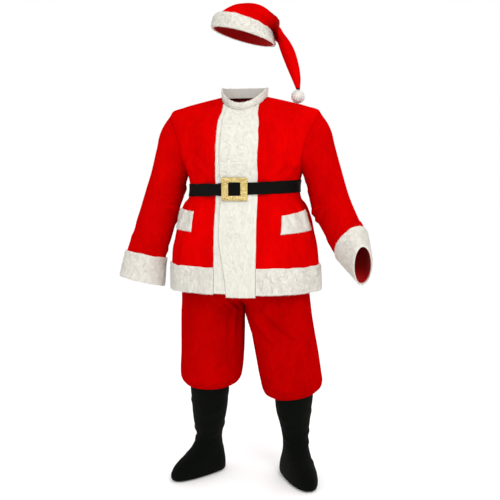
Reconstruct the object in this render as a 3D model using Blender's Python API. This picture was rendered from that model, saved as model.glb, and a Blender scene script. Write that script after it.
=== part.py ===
"""A red plush santa suit as worn: hat, jacket, belt, trousers and boot covers, hollow, with no wearer.

Metres, +Z up. The front faces -Y and the wearer's left is +X. Heights in the tables are above the
soles; every piece is then lowered by HOLD_HEIGHT, so that the origin is the middle of the shoulders.
Each garment is a sheet of an angle and a level, worked out from a table of its cross-sections.
Each cloth piece is a patch of such a sheet between two depths, measured along its normal.
"""

import math
from collections import namedtuple

import bpy
import numpy as np

MM = 0.001
HOLD_HEIGHT = 1.46
SEAM_GAP = 0.3 * MM
SHARP_FROM = 50
CLOTH = 2.0 * MM
PLUSH = 5.0 * MM
LAYER = PLUSH + SEAM_GAP
NORMAL_STEP = 1e-4
QUARTER = math.pi / 2


def ease(low, high, value):
    """0 up to low, 1 from high, and a smooth rise between them."""
    s = np.clip((value - low) / (high - low), 0, 1)
    return s * s * (3 - 2 * s)


def bump(middle, width, value):
    """A smooth bump, 1 high at middle, that fades out over width."""
    return np.exp(-(((value - middle) / width) ** 2))


def stack(x, y, z):
    return np.stack(np.broadcast_arrays(x, y, z), axis=-1).astype(float)


def unit(vectors):
    length = np.linalg.norm(vectors, axis=-1, keepdims=True)
    return vectors / np.maximum(length, 1e-12)


def turned(points, degrees):
    """Points turned about the vertical axis."""
    c, s = math.cos(math.radians(degrees)), math.sin(math.radians(degrees))
    x, y, z = points[..., 0], points[..., 1], points[..., 2]
    return stack(x * c - y * s, x * s + y * c, z)


def ring(turn, squareness):
    """Sine and cosine of a round (2) to squarish (above 2) ring."""
    sin, cos = np.sin(turn), np.cos(turn)
    size = (np.abs(sin) ** squareness + np.abs(cos) ** squareness) ** (-1 / squareness)
    return size * sin, size * cos


def turn_from(turn, middle):
    return (turn - middle + math.pi) % (2 * math.pi) - math.pi


class Sections:
    """A table of cross-sections, one row each, read at any level by a smooth curve through them."""

    def __init__(self, row, rows):
        self.row = row
        rows = np.array(sorted(rows), float)
        self.levels = rows[:, 0]
        self.values = rows[:, 1:]
        self.slopes = np.gradient(self.values, self.levels, axis=0)

    def at(self, level):
        level = np.asarray(level, float)
        i = np.searchsorted(self.levels, level, side="right") - 1
        i = np.clip(i, 0, len(self.levels) - 2)
        step = self.levels[i + 1] - self.levels[i]
        inside = np.clip(level, self.levels[0], self.levels[-1])
        s = ((inside - self.levels[i]) / step)[..., None]
        low_slope, high_slope = self.slopes[i], self.slopes[i + 1]
        value = (
            self.values[i] * (1 + 2 * s) * (1 - s) ** 2
            + self.values[i + 1] * (3 - 2 * s) * s**2
            + low_slope * step[..., None] * s * (1 - s) ** 2
            + high_slope * step[..., None] * (s - 1) * s**2
        )
        beyond = (level - inside)[..., None]
        value = value + np.where(s < 0.5, low_slope, high_slope) * beyond
        return self.row(level, *np.moveaxis(value, -1, 0))


class Sheet:
    """Points of u and v. outward is -1 where u goes to the left, seen from outside with v going up."""

    def __init__(self, points, outward=1):
        self.points = points
        self.outward = outward

    def __call__(self, u, v):
        return self.points(*np.broadcast_arrays(np.asarray(u, float), np.asarray(v, float)))

    def normals(self, u, v):
        along = self(u + NORMAL_STEP, v) - self(u - NORMAL_STEP, v)
        up = self(u, v + NORMAL_STEP) - self(u, v - NORMAL_STEP)
        return unit(np.cross(along, up)) * self.outward

    def moved_out(self, distance):
        """The sheet with its points moved out by distance(u, v)."""
        return Sheet(
            lambda u, v: self(u, v) + self.normals(u, v) * distance(u, v)[..., None],
            self.outward,
        )

    def on_side(self, side):
        """The same sheet for side 1, and its mirror image for side -1."""
        return Sheet(lambda u, v: self(u, v) * (side, 1, 1), self.outward * side)


# Torso: rings round the body at each level. Above SHOULDER_TIP a level is a way inwards over the
# shoulder, and a ring's front and back dip below its sides.

TorsoRow = namedtuple(
    "TorsoRow", "level side_z front_z back_z half_width front_depth back_depth squareness"
)
TORSO = Sections(
    TorsoRow,
    [
        TorsoRow(0.740, 0.740, 0.738, 0.740, 0.290, 0.203, 0.182, 2.25),
        TorsoRow(0.866, 0.866, 0.864, 0.866, 0.285, 0.198, 0.177, 2.25),
        TorsoRow(0.953, 0.953, 0.951, 0.953, 0.277, 0.191, 0.168, 2.25),
        TorsoRow(1.010, 1.010, 1.009, 1.010, 0.261, 0.182, 0.157, 2.25),
        TorsoRow(1.073, 1.073, 1.073, 1.073, 0.238, 0.168, 0.145, 2.25),
        TorsoRow(1.120, 1.120, 1.120, 1.120, 0.218, 0.159, 0.136, 2.25),
        TorsoRow(1.160, 1.160, 1.160, 1.160, 0.213, 0.157, 0.134, 2.25),
        TorsoRow(1.200, 1.200, 1.200, 1.200, 0.219, 0.159, 0.137, 2.30),
        TorsoRow(1.260, 1.260, 1.252, 1.260, 0.240, 0.163, 0.144, 2.35),
        TorsoRow(1.340, 1.340, 1.306, 1.332, 0.266, 0.160, 0.147, 2.38),
        TorsoRow(1.400, 1.400, 1.342, 1.376, 0.281, 0.150, 0.142, 2.34),
        TorsoRow(1.446, 1.446, 1.370, 1.412, 0.288, 0.140, 0.132, 2.28),
        TorsoRow(1.500, 1.466, 1.396, 1.446, 0.240, 0.128, 0.119, 2.20),
        TorsoRow(1.570, 1.485, 1.420, 1.478, 0.168, 0.113, 0.101, 2.10),
        TorsoRow(1.650, 1.503, 1.442, 1.508, 0.088, 0.095, 0.079, 2.00),
    ],
)
HEM = 0.772
HEM_BAND_TOP = 0.866
BELT = 1.156
BELT_HALF_HEIGHT = 0.024
BELT_TILT = 0.009
BELT_REACH = BELT_HALF_HEIGHT + BELT_TILT
ARMPIT = 1.215
SHOULDER_TIP = 1.446
NECK = 1.650
ARMHOLE_MIDDLE = (ARMPIT + SHOULDER_TIP) / 2
ARMHOLE_REACH = (SHOULDER_TIP - ARMPIT) / 2
ARMHOLE_ANGLE = 0.50
ARMHOLE_STEPS = 9


def torso_point(angle, level):
    """Angle 0 is the centre front and a quarter turn is the wearer's left side."""
    s = TORSO.at(level)
    sin, cos = ring(angle, s.squareness)
    depth = np.where(cos > 0, s.front_depth, s.back_depth)
    middle_z = np.where(cos > 0, s.front_z, s.back_z)
    height = s.side_z + (middle_z - s.side_z) * np.abs(np.cos(angle)) ** 1.5
    return stack(s.half_width * sin, -depth * cos, height)


TorsoFold = namedtuple("TorsoFold", "angle level width height lean depth")
JACKET_FOLDS = [
    TorsoFold(0.95, 1.235, 0.10, 0.055, 1.6, 0.006),
    TorsoFold(1.30, 1.080, 0.11, 0.060, -1.2, 0.006),
    TorsoFold(0.70, 1.070, 0.09, 0.055, -0.8, 0.004),
    TorsoFold(1.75, 1.075, 0.10, 0.075, 0.6, 0.006),
    TorsoFold(2.20, 1.085, 0.10, 0.070, 0.5, 0.007),
    TorsoFold(2.70, 1.080, 0.10, 0.080, 0.2, 0.006),
    TorsoFold(2.45, 1.240, 0.11, 0.060, -0.8, 0.006),
    TorsoFold(2.95, 1.250, 0.10, 0.070, -0.3, 0.005),
]
UNEVEN = 0.02
FOLDS_BESIDE_BELT = (BELT_REACH, 0.060)
FOLDS_BESIDE_BANDS = (0.30, 0.55)
FOLDS_BELOW_SHOULDER = (1.45, 1.42)
WAVES_BELOW_WAIST = (1.02, 0.80)

Wave = namedtuple("Wave", "count start height")
SKIRT_WAVES = [Wave(5, 0.4, 0.0045), Wave(8, 1.7, 0.0025)]


def torso_fold(angle, level):
    """How far the folds move the jacket's cloth out. They die away under the belt and the front bands."""
    around = np.abs(turn_from(angle, 0))
    side = np.sign(np.sin(angle))
    out = np.zeros(angle.shape)
    for k, f in enumerate(JACKET_FOLDS):
        middle = f.angle + UNEVEN * side * (-1) ** k + f.lean * (level - f.level)
        out = out + f.depth * bump(middle, f.width, around) * bump(f.level, f.height, level)
    for w in SKIRT_WAVES:
        out = out + w.height * np.sin(w.count * angle + w.start) * ease(*WAVES_BELOW_WAIST, level)
    beside_belt = ease(*FOLDS_BESIDE_BELT, np.abs(level - BELT))
    beside_bands = ease(*FOLDS_BESIDE_BANDS, around)
    below_shoulder = ease(*FOLDS_BELOW_SHOULDER, level)
    return out * beside_belt * beside_bands * below_shoulder


plain_torso = Sheet(torso_point)
torso = plain_torso.moved_out(torso_fold)

NECK_TAPER = 0.14
ANGLE_STEPS = 8


def angle_at(x, level):
    """The angle where the torso's front is x from its middle line, a little less at the neck."""
    s = TORSO.at(level)
    across = x * (1 - NECK_TAPER * ease(SHOULDER_TIP, NECK, level)) / s.half_width
    angle = np.arcsin(np.clip(across, -1, 1))
    for _ in range(ANGLE_STEPS):
        size = ring(angle, s.squareness)[0] / np.where(angle == 0, 1, np.sin(angle))
        size = np.where(angle == 0, 1, size)
        angle = np.arcsin(np.clip(across / size, -1, 1))
    return angle


def armhole(turn, gap=0):
    """Angle and level of the armhole's edge. Turn 0 is the shoulder tip, a quarter turn its front."""
    angle = QUARTER - (ARMHOLE_ANGLE - gap / TORSO.at(ARMHOLE_MIDDLE).front_depth) * np.sin(turn)
    return angle, ARMHOLE_MIDDLE + (ARMHOLE_REACH - gap) * np.cos(turn)


# Sleeves and hat: sections between an outer and an inner point, each with a half depth. Tilt raises the
# front of a section and lowers its back.

LimbRow = namedtuple(
    "LimbRow", "along outer_x outer_y outer_z inner_x inner_y inner_z half_depth tilt"
)
SLEEVE_LEFT = Sections(
    LimbRow,
    [
        LimbRow(0.00, 0.290, 0.000, 1.444, 0.232, 0.000, 1.210, 0.078, 0.000),
        LimbRow(0.05, 0.322, 0.000, 1.402, 0.240, 0.000, 1.175, 0.084, 0.000),
        LimbRow(0.13, 0.346, 0.002, 1.318, 0.246, 0.002, 1.137, 0.086, 0.000),
        LimbRow(0.24, 0.371, 0.004, 1.228, 0.254, 0.004, 1.106, 0.083, 0.000),
        LimbRow(0.36, 0.402, 0.000, 1.128, 0.266, -0.004, 1.062, 0.079, 0.004),
        LimbRow(0.48, 0.442, -0.022, 1.040, 0.305, -0.032, 0.998, 0.076, 0.008),
        LimbRow(0.60, 0.468, -0.042, 0.998, 0.362, -0.062, 0.906, 0.072, 0.020),
        LimbRow(0.70, 0.490, -0.088, 0.902, 0.434, -0.108, 0.848, 0.068, 0.040),
    ],
)
SLEEVE_RIGHT = Sections(
    LimbRow,
    [
        LimbRow(0.00, 0.290, 0.000, 1.444, 0.232, 0.000, 1.210, 0.078, 0.000),
        LimbRow(0.05, 0.322, 0.000, 1.402, 0.240, 0.000, 1.175, 0.084, 0.000),
        LimbRow(0.13, 0.346, 0.002, 1.318, 0.246, 0.002, 1.137, 0.086, 0.000),
        LimbRow(0.24, 0.371, 0.004, 1.228, 0.255, 0.004, 1.104, 0.083, 0.000),
        LimbRow(0.36, 0.406, 0.002, 1.120, 0.266, 0.002, 1.072, 0.077, 0.000),
        LimbRow(0.48, 0.443, -0.006, 0.999, 0.296, -0.006, 0.963, 0.072, 0.000),
        LimbRow(0.60, 0.474, -0.018, 0.903, 0.320, -0.018, 0.874, 0.069, 0.000),
        LimbRow(0.70, 0.497, -0.026, 0.808, 0.327, -0.026, 0.771, 0.066, 0.000),
    ],
)
CUFF_TOP = 0.595
CUFF_END = 0.702
SLEEVE_END = 0.696
ARMHOLE_BLEND = 0.10
ARMHOLE_NORMALS = 0.02
SLEEVE_FOLDS_START = (0.04, 0.12)
SLEEVE_FOLDS_END = (CUFF_TOP, CUFF_TOP - 0.03)

LimbFold = namedtuple("LimbFold", "along turn length width lean depth")
SLEEVE_FOLDS = [
    LimbFold(0.16, 4.05, 0.030, 0.80, 0.05, 0.006),
    LimbFold(0.27, 1.80, 0.022, 0.90, -0.03, 0.005),
    LimbFold(0.36, 2.60, 0.016, 1.10, 0.02, 0.008),
    LimbFold(0.41, 3.40, 0.015, 1.00, -0.02, 0.007),
    LimbFold(0.47, 1.70, 0.018, 0.90, 0.03, 0.005),
    LimbFold(0.53, 4.30, 0.018, 1.00, -0.04, 0.006),
    LimbFold(0.55, 0.90, 0.016, 0.80, 0.04, 0.004),
]


def limb_fold(folds, turn, along):
    out = np.zeros(turn.shape)
    for f in folds:
        away = turn_from(turn, f.turn)
        across = along - f.lean * away
        out = out + f.depth * bump(f.along, f.length, across) * bump(0, f.width, away)
    return out


def limb_point(sections, turn, along):
    """Turn 0 is a limb's outer line and a quarter turn its front."""

    def middle_and_reach(along):
        s = sections.at(along)
        outer = stack(s.outer_x, s.outer_y, s.outer_z)
        inner = stack(s.inner_x, s.inner_y, s.inner_z)
        return (outer + inner) / 2, (outer - inner) / 2

    s = sections.at(along)
    middle, reach = middle_and_reach(along)
    way = middle_and_reach(along + NORMAL_STEP)[0] - middle_and_reach(along - NORMAL_STEP)[0]
    front = unit(np.cross(way, reach)) * s.half_depth[..., None]
    points = middle + np.cos(turn)[..., None] * reach + np.sin(turn)[..., None] * front
    points[..., 2] += s.tilt * np.sin(turn)
    return points


class Sleeve(Sheet):
    """A sleeve's sheet. It leaves the armhole's edge, whose normals it shares there."""

    def __init__(self, sections, side):
        def fold(turn, along):
            below_armhole = ease(*SLEEVE_FOLDS_START, along)
            above_cuff = ease(*SLEEVE_FOLDS_END, along)
            return limb_fold(SLEEVE_FOLDS, turn, along) * below_armhole * above_cuff

        self.side = side
        self.tube = Sheet(lambda turn, along: limb_point(sections, turn, along)).moved_out(fold)
        super().__init__(self.place, side)

    def edge(self, turn, read):
        angle, level = armhole(turn, SEAM_GAP)
        return read(self.side * angle, level) * (self.side, 1, 1)

    def place(self, turn, along):
        edge = self.edge(turn, torso)
        share = ease(0, ARMHOLE_BLEND, along)[..., None]
        lead = np.clip(along / ARMHOLE_BLEND, 0, 1)[..., None] / 2
        start = edge + lead * (self.tube(turn, np.maximum(along, ARMHOLE_BLEND)) - edge)
        points = start * (1 - share) + self.tube(turn, along) * share
        return points * (self.side, 1, 1)

    def normals(self, u, v):
        edge = self.edge(u, torso.normals) * (self.side, 1, 1)
        share = ease(0, ARMHOLE_NORMALS, v)[..., None]
        return unit(edge * (1 - share) + super().normals(u, v) * share)


SLEEVES = {"left": Sleeve(SLEEVE_LEFT, 1), "right": Sleeve(SLEEVE_RIGHT, -1)}


# Trousers: each leg is a ring whose inner part is missing where it would cross the body's middle.

LegRow = namedtuple(
    "LegRow",
    "level height centre_x half_width centre_y front_depth back_depth squareness outer_rise",
)
HIPS = [
    LegRow(1.190, 1.190, 0.000, 0.2125, 0.000, 0.1555, 0.1325, 2.28, 0.000),
    LegRow(1.160, 1.160, 0.000, 0.2103, 0.000, 0.1543, 0.1313, 2.25, 0.000),
    LegRow(1.130, 1.130, 0.000, 0.2118, 0.000, 0.1540, 0.1315, 2.25, 0.000),
    LegRow(1.050, 1.050, 0.000, 0.228, 0.003, 0.150, 0.136, 2.20, 0.000),
    LegRow(0.950, 0.950, 0.000, 0.243, 0.006, 0.156, 0.148, 2.20, 0.000),
    LegRow(0.850, 0.850, 0.006, 0.244, 0.008, 0.158, 0.153, 2.20, 0.000),
    LegRow(0.790, 0.790, 0.042, 0.2090, 0.008, 0.155, 0.150, 2.20, 0.000),
    LegRow(0.750, 0.750, 0.088, 0.1640, 0.008, 0.149, 0.143, 2.20, 0.000),
]
LEG_LEFT = Sections(
    LegRow,
    [
        *HIPS,
        LegRow(0.715, 0.715, 0.1230, 0.1330, 0.008, 0.140, 0.136, 2.15, 0.000),
        LegRow(0.670, 0.670, 0.1340, 0.1275, 0.009, 0.132, 0.130, 2.10, 0.001),
        LegRow(0.600, 0.600, 0.1480, 0.1240, 0.014, 0.124, 0.122, 2.10, 0.004),
        LegRow(0.500, 0.500, 0.1660, 0.1230, 0.020, 0.116, 0.116, 2.10, 0.010),
        LegRow(0.420, 0.414, 0.1795, 0.1205, 0.026, 0.112, 0.112, 2.10, 0.016),
        LegRow(0.385, 0.380, 0.1860, 0.1180, 0.028, 0.110, 0.110, 2.10, 0.018),
        LegRow(0.355, 0.355, 0.1890, 0.1080, 0.030, 0.101, 0.101, 2.00, 0.017),
        LegRow(0.330, 0.342, 0.1910, 0.0900, 0.032, 0.088, 0.088, 2.00, 0.014),
        LegRow(0.310, 0.335, 0.1910, 0.0796, 0.0325, 0.0796, 0.0796, 2.00, 0.012),
    ],
)
LEG_RIGHT = Sections(
    LegRow,
    [
        *HIPS,
        LegRow(0.715, 0.715, 0.1200, 0.1320, 0.008, 0.140, 0.136, 2.15, 0.000),
        LegRow(0.670, 0.670, 0.1285, 0.1270, 0.008, 0.132, 0.130, 2.10, 0.000),
        LegRow(0.600, 0.600, 0.1305, 0.1265, 0.007, 0.124, 0.122, 2.10, 0.000),
        LegRow(0.500, 0.500, 0.1320, 0.1255, 0.003, 0.116, 0.116, 2.10, 0.000),
        LegRow(0.440, 0.440, 0.1355, 0.1240, -0.001, 0.112, 0.112, 2.10, 0.001),
        LegRow(0.410, 0.410, 0.1375, 0.1200, -0.003, 0.109, 0.109, 2.10, 0.001),
        LegRow(0.380, 0.389, 0.1400, 0.1080, -0.005, 0.100, 0.100, 2.00, 0.001),
        LegRow(0.355, 0.377, 0.1425, 0.0915, -0.006, 0.089, 0.089, 2.00, 0.000),
        LegRow(0.335, 0.371, 0.1430, 0.0792, -0.0070, 0.0792, 0.0792, 2.00, 0.000),
    ],
)
TROUSER_TOP = 1.178
HEM_LEFT = 0.312
HEM_RIGHT = 0.337
LEG_FOLDS_ABOVE_HEM = (0.325, 0.385)
LEG_FOLDS_BELOW_HIP = (0.78, 0.66)
LEG_FOLDS_BESIDE_INSEAM = (0, 0.12)
LEG_FOLDS_BESIDE_SIDE = (1, 0.90)

# Shares run from the inseam (0) over the front to the side seam (1), and over the back to -1.
LegFold = namedtuple("LegFold", "share level width height lean depth")
LEG_FOLDS_RIGHT = [
    LegFold(0.26, 0.640, 0.060, 0.120, 0.10, -0.008),
    LegFold(0.12, 0.620, 0.050, 0.110, 0.05, -0.007),
    LegFold(0.42, 0.470, 0.080, 0.070, -0.80, 0.006),
    LegFold(0.62, 0.430, 0.120, 0.028, 0.60, 0.006),
    LegFold(-0.30, 0.600, 0.080, 0.110, 0.40, -0.007),
    LegFold(-0.62, 0.560, 0.080, 0.120, -0.50, 0.006),
    LegFold(-0.45, 0.440, 0.150, 0.026, -0.50, 0.006),
]
LEG_FOLDS_LEFT = [
    LegFold(0.45, 0.640, 0.060, 0.090, -1.10, -0.006),
    LegFold(0.66, 0.600, 0.070, 0.100, -0.90, 0.007),
    LegFold(0.24, 0.430, 0.110, 0.022, 0.90, -0.006),
    LegFold(0.40, 0.385, 0.120, 0.024, 0.60, 0.006),
    LegFold(-0.34, 0.600, 0.080, 0.110, 0.40, -0.007),
    LegFold(-0.60, 0.520, 0.080, 0.120, -0.50, 0.006),
    LegFold(-0.50, 0.400, 0.150, 0.026, -0.50, 0.006),
]


def trouser_half(sections, folds, side, front):
    """A leg's front (1) or back (-1) sheet. Share 0 is the centre seam or inseam, 1 the side seam."""

    def place(share, level):
        s = sections.at(level)
        start = np.arccos(np.clip((s.centre_x - SEAM_GAP) / s.half_width, -1, 1))
        sin, cos = ring(start + (math.pi - start) * share, s.squareness)
        depth = -s.front_depth if front > 0 else s.back_depth
        x = np.maximum(s.centre_x - s.half_width * cos, SEAM_GAP)
        return stack(x, s.centre_y + depth * sin, s.height - s.outer_rise * cos)

    def fold(share, level):
        out = np.zeros(share.shape)
        for f in folds:
            middle = f.share * front + f.lean * front * (level - f.level)
            out = out + f.depth * bump(middle, f.width, share) * bump(f.level, f.height, level)
        beside_seams = ease(*LEG_FOLDS_BESIDE_INSEAM, share) * ease(*LEG_FOLDS_BESIDE_SIDE, share)
        between_ends = ease(*LEG_FOLDS_ABOVE_HEM, level) * ease(*LEG_FOLDS_BELOW_HIP, level)
        return out * beside_seams * between_ends

    return Sheet(place, front).moved_out(fold).on_side(side)


LEGS = {"left": (LEG_LEFT, LEG_FOLDS_LEFT, 1), "right": (LEG_RIGHT, LEG_FOLDS_RIGHT, -1)}


# Boot covers: level rings about a point that moves from the calf to the ankle, turned out by the foot's
# own angle. The last rows turn in under the sole.

BootRow = namedtuple("BootRow", "along height centre_x centre_y back front half_width squareness")
BOOT_LEFT = Sections(
    BootRow,
    [
        BootRow(0.000, 0.440, 0.191, 0.034, 0.0745, 0.0745, 0.0745, 2.0),
        BootRow(0.100, 0.340, 0.191, 0.031, 0.0765, 0.0765, 0.0765, 2.0),
        BootRow(0.170, 0.270, 0.190, 0.040, 0.0720, 0.0700, 0.0700, 2.0),
        BootRow(0.230, 0.210, 0.193, 0.050, 0.0630, 0.0600, 0.0590, 2.0),
        BootRow(0.290, 0.150, 0.195, 0.062, 0.0580, 0.0580, 0.0520, 2.0),
        BootRow(0.325, 0.118, 0.195, 0.064, 0.0620, 0.0820, 0.0505, 2.0),
        BootRow(0.370, 0.092, 0.195, 0.064, 0.0680, 0.1250, 0.0520, 2.1),
        BootRow(0.420, 0.070, 0.195, 0.064, 0.0720, 0.1700, 0.0560, 2.2),
        BootRow(0.455, 0.046, 0.195, 0.064, 0.0745, 0.1980, 0.0610, 2.3),
        BootRow(0.480, 0.020, 0.195, 0.064, 0.0760, 0.2060, 0.0630, 2.3),
        BootRow(0.500, 0.004, 0.195, 0.064, 0.0720, 0.2000, 0.0590, 2.3),
        BootRow(0.520, 0.001, 0.195, 0.064, 0.0560, 0.1800, 0.0450, 2.2),
    ],
)
BOOT_RIGHT = Sections(
    BootRow,
    [
        BootRow(0.000, 0.470, 0.143, -0.006, 0.0745, 0.0745, 0.0745, 2.0),
        BootRow(0.100, 0.370, 0.143, -0.006, 0.0765, 0.0765, 0.0765, 2.0),
        BootRow(0.170, 0.295, 0.1455, 0.003, 0.0735, 0.0720, 0.0720, 2.0),
        BootRow(0.240, 0.210, 0.153, 0.022, 0.0650, 0.0620, 0.0610, 2.0),
        BootRow(0.300, 0.145, 0.159, 0.042, 0.0560, 0.0540, 0.0510, 2.0),
        BootRow(0.335, 0.115, 0.160, 0.046, 0.0600, 0.0760, 0.0500, 2.0),
        BootRow(0.380, 0.090, 0.160, 0.048, 0.0660, 0.1120, 0.0500, 2.1),
        BootRow(0.425, 0.068, 0.160, 0.048, 0.0690, 0.1560, 0.0520, 2.2),
        BootRow(0.460, 0.044, 0.160, 0.048, 0.0710, 0.1870, 0.0550, 2.3),
        BootRow(0.485, 0.020, 0.160, 0.048, 0.0720, 0.1980, 0.0560, 2.3),
        BootRow(0.505, 0.004, 0.160, 0.048, 0.0690, 0.1920, 0.0530, 2.3),
        BootRow(0.525, 0.001, 0.160, 0.048, 0.0530, 0.1720, 0.0390, 2.2),
    ],
)
TOE_OUT_LEFT = 24.0
TOE_OUT_RIGHT = 33.0


def boot(sections, toe_out, side):
    """Turn 0 is the toe, and a quarter turn is the outer side of the foot."""

    def place(turn, along):
        s = sections.at(along)
        sin, cos = ring(turn, s.squareness)
        ahead = np.where(cos > 0, s.front, s.back) * cos
        foot = turned(stack(s.half_width * sin, -ahead, s.height), toe_out)
        return foot + stack(s.centre_x, s.centre_y, 0)

    return Sheet(place, -1).on_side(side)


BOOT_END_LEFT = 0.520
BOOT_END_RIGHT = 0.525
BOOTS = {
    "left": (boot(BOOT_LEFT, TOE_OUT_LEFT, 1), BOOT_END_LEFT),
    "right": (boot(BOOT_RIGHT, TOE_OUT_RIGHT, -1), BOOT_END_RIGHT),
}


# Hat: sections from the outer line, over the crown, to the inner line, where the cone folds down.

HAT_TURN = 11.0
HAT = Sections(
    LimbRow,
    [
        LimbRow(0.000, -0.120, 0.000, 1.763, 0.108, 0.000, 1.700, 0.119, 0.004),
        LimbRow(0.055, -0.108, 0.000, 1.800, 0.097, 0.000, 1.742, 0.113, 0.014),
        LimbRow(0.095, -0.066, 0.000, 1.829, 0.101, 0.000, 1.752, 0.108, 0.016),
        LimbRow(0.145, -0.015, 0.000, 1.843, 0.108, 0.000, 1.753, 0.104, 0.010),
        LimbRow(0.220, 0.055, 0.002, 1.821, 0.116, 0.004, 1.743, 0.094, 0.004),
        LimbRow(0.290, 0.110, 0.006, 1.779, 0.123, 0.008, 1.720, 0.079, 0.000),
        LimbRow(0.350, 0.156, 0.008, 1.733, 0.131, 0.012, 1.692, 0.064, 0.000),
        LimbRow(0.410, 0.188, 0.010, 1.684, 0.144, 0.014, 1.656, 0.050, 0.000),
        LimbRow(0.465, 0.204, 0.002, 1.632, 0.160, 0.006, 1.615, 0.037, 0.000),
        LimbRow(0.520, 0.212, -0.008, 1.580, 0.178, -0.004, 1.572, 0.025, 0.000),
        LimbRow(0.570, 0.210, -0.022, 1.528, 0.196, -0.020, 1.527, 0.011, 0.000),
    ],
)
HAT_BAND_TOP = 0.060
HAT_BAND_PLUSH = 7.0 * MM
HAT_TIP = 0.566
POMPOM_RADIUS = 0.027
HAT_FOLDS = [
    LimbFold(0.205, 1.10, 0.020, 0.80, 0.03, -0.007),
    LimbFold(0.270, 2.10, 0.020, 0.70, -0.03, 0.006),
    LimbFold(0.330, 1.20, 0.022, 0.70, 0.05, 0.005),
    LimbFold(0.230, 5.10, 0.024, 0.80, -0.04, -0.007),
    LimbFold(0.310, 4.40, 0.022, 0.70, 0.03, 0.006),
    LimbFold(0.400, 5.20, 0.030, 0.60, -0.03, 0.004),
]
straight_hat = Sheet(lambda turn, along: limb_point(HAT, turn, along)).moved_out(
    lambda turn, along: limb_fold(HAT_FOLDS, turn, along)
)
hat = Sheet(lambda turn, along: turned(straight_hat(turn, along), HAT_TURN))


# Front bands: how far their edges are from the middle. The left band laps over the right one.

OVER_EDGE = -0.061
OVER_SEAM = 0.078
UNDER_EDGE = 0.044
UNDER_EDGE_CLEAR = UNDER_EDGE + 0.002
UNDER_SEAM = -0.080
PANEL_EDGE_LEFT = 0.060
PANEL_EDGE_RIGHT = -0.062
OVER_DROP = 0.012


def over_band_rest(x):
    """How far the upper band's back lies off the torso: on the panel at its seam, then on the lower band."""
    return SEAM_GAP + (LAYER + SEAM_GAP) * ease(PANEL_EDGE_LEFT, UNDER_EDGE_CLEAR, x)


# Belt and buckle

BELT_WALL = 2.0 * MM
BELT_REST = 1.4 * MM
BELT_START = -0.30
BELT_OVERLAP = 0.42
BELT_LAP = (-0.75, -0.45)
BELT_BRIDGE = (0.150, 0.070)
BELT_COLUMNS = 56
BUCKLE_X = -0.005
BUCKLE_WIDTH = 0.098
BUCKLE_HEIGHT = 0.085
BUCKLE_HOLE_WIDTH = 0.046
BUCKLE_HOLE_HEIGHT = 0.050
BUCKLE_WALL = 4.0 * MM
BUCKLE_REST = 2.0 * MM
BANDS_DEPTH = 2 * LAYER + SEAM_GAP


def belt_point(angle, level):
    """The belt's back. It bridges the step beside the bands, and its free end laps over its other end."""
    level = level + BELT_TILT * np.sin(angle)
    base = plain_torso(angle, level)
    bridge = BANDS_DEPTH * ease(*BELT_BRIDGE, np.abs(base[..., 0])) * (base[..., 1] < 0)
    lap = (BELT_WALL + SEAM_GAP) * ease(*BELT_LAP, angle - 2 * math.pi)
    rest = BELT_REST + bridge + lap
    return base + plain_torso.normals(angle, level) * rest[..., None]


belt = Sheet(belt_point)

# Collar: an upright band just inside the neck's edge

COLLAR_HEIGHT = 0.034
COLLAR_FOOT = 0.004
COLLAR_BEND = 0.012
COLLAR_WALL = 5.0 * MM
COLLAR_LEAN = 0.10
COLLAR_SLIT = 0.02
COLLAR_INSIDE = 2.4 * MM
COLLAR_COLUMNS = 24


def collar_point(angle, height):
    base = plain_torso(angle, NECK)
    out = unit(base * (1, 1, 0))
    lean = COLLAR_LEAN * np.maximum(height, 0) - COLLAR_INSIDE
    return base + out * lean[..., None] + stack(0, 0, height)


collar = Sheet(collar_point)


# Building

Finish = namedtuple("Finish", "colour roughness metallic")
FINISHES = {
    "red_plush": Finish((0.62, 0.004, 0.006), 0.85, 0.0),
    "white_plush": Finish((0.80, 0.79, 0.74), 0.95, 0.0),
    "black_felt": Finish((0.010, 0.010, 0.010), 0.90, 0.0),
    "black_webbing": Finish((0.012, 0.012, 0.013), 0.60, 0.0),
    "gold_glitter": Finish((0.75, 0.55, 0.20), 0.35, 0.8),
}


def material(name):
    """The named material, made when it is first asked for."""
    found = bpy.data.materials.get(name)
    if found:
        return found
    finish = FINISHES[name]
    made = bpy.data.materials.new(name)
    made.use_nodes = True
    shader = made.node_tree.nodes["Principled BSDF"]
    shader.inputs["Base Color"].default_value = (*finish.colour, 1)
    shader.inputs["Roughness"].default_value = finish.roughness
    shader.inputs["Metallic"].default_value = finish.metallic
    return made


def add_object(name, points, faces, finish):
    mesh = bpy.data.meshes.new(name)
    mesh.from_pydata((points - (0, 0, HOLD_HEIGHT)).tolist(), [], faces)
    mesh.update()
    mesh.shade_smooth()
    mesh.set_sharp_from_angle(angle=math.radians(SHARP_FROM))
    mesh.materials.append(material(finish))
    made = bpy.data.objects.new(name, mesh)
    bpy.context.scene.collection.objects.link(made)
    return made


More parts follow.
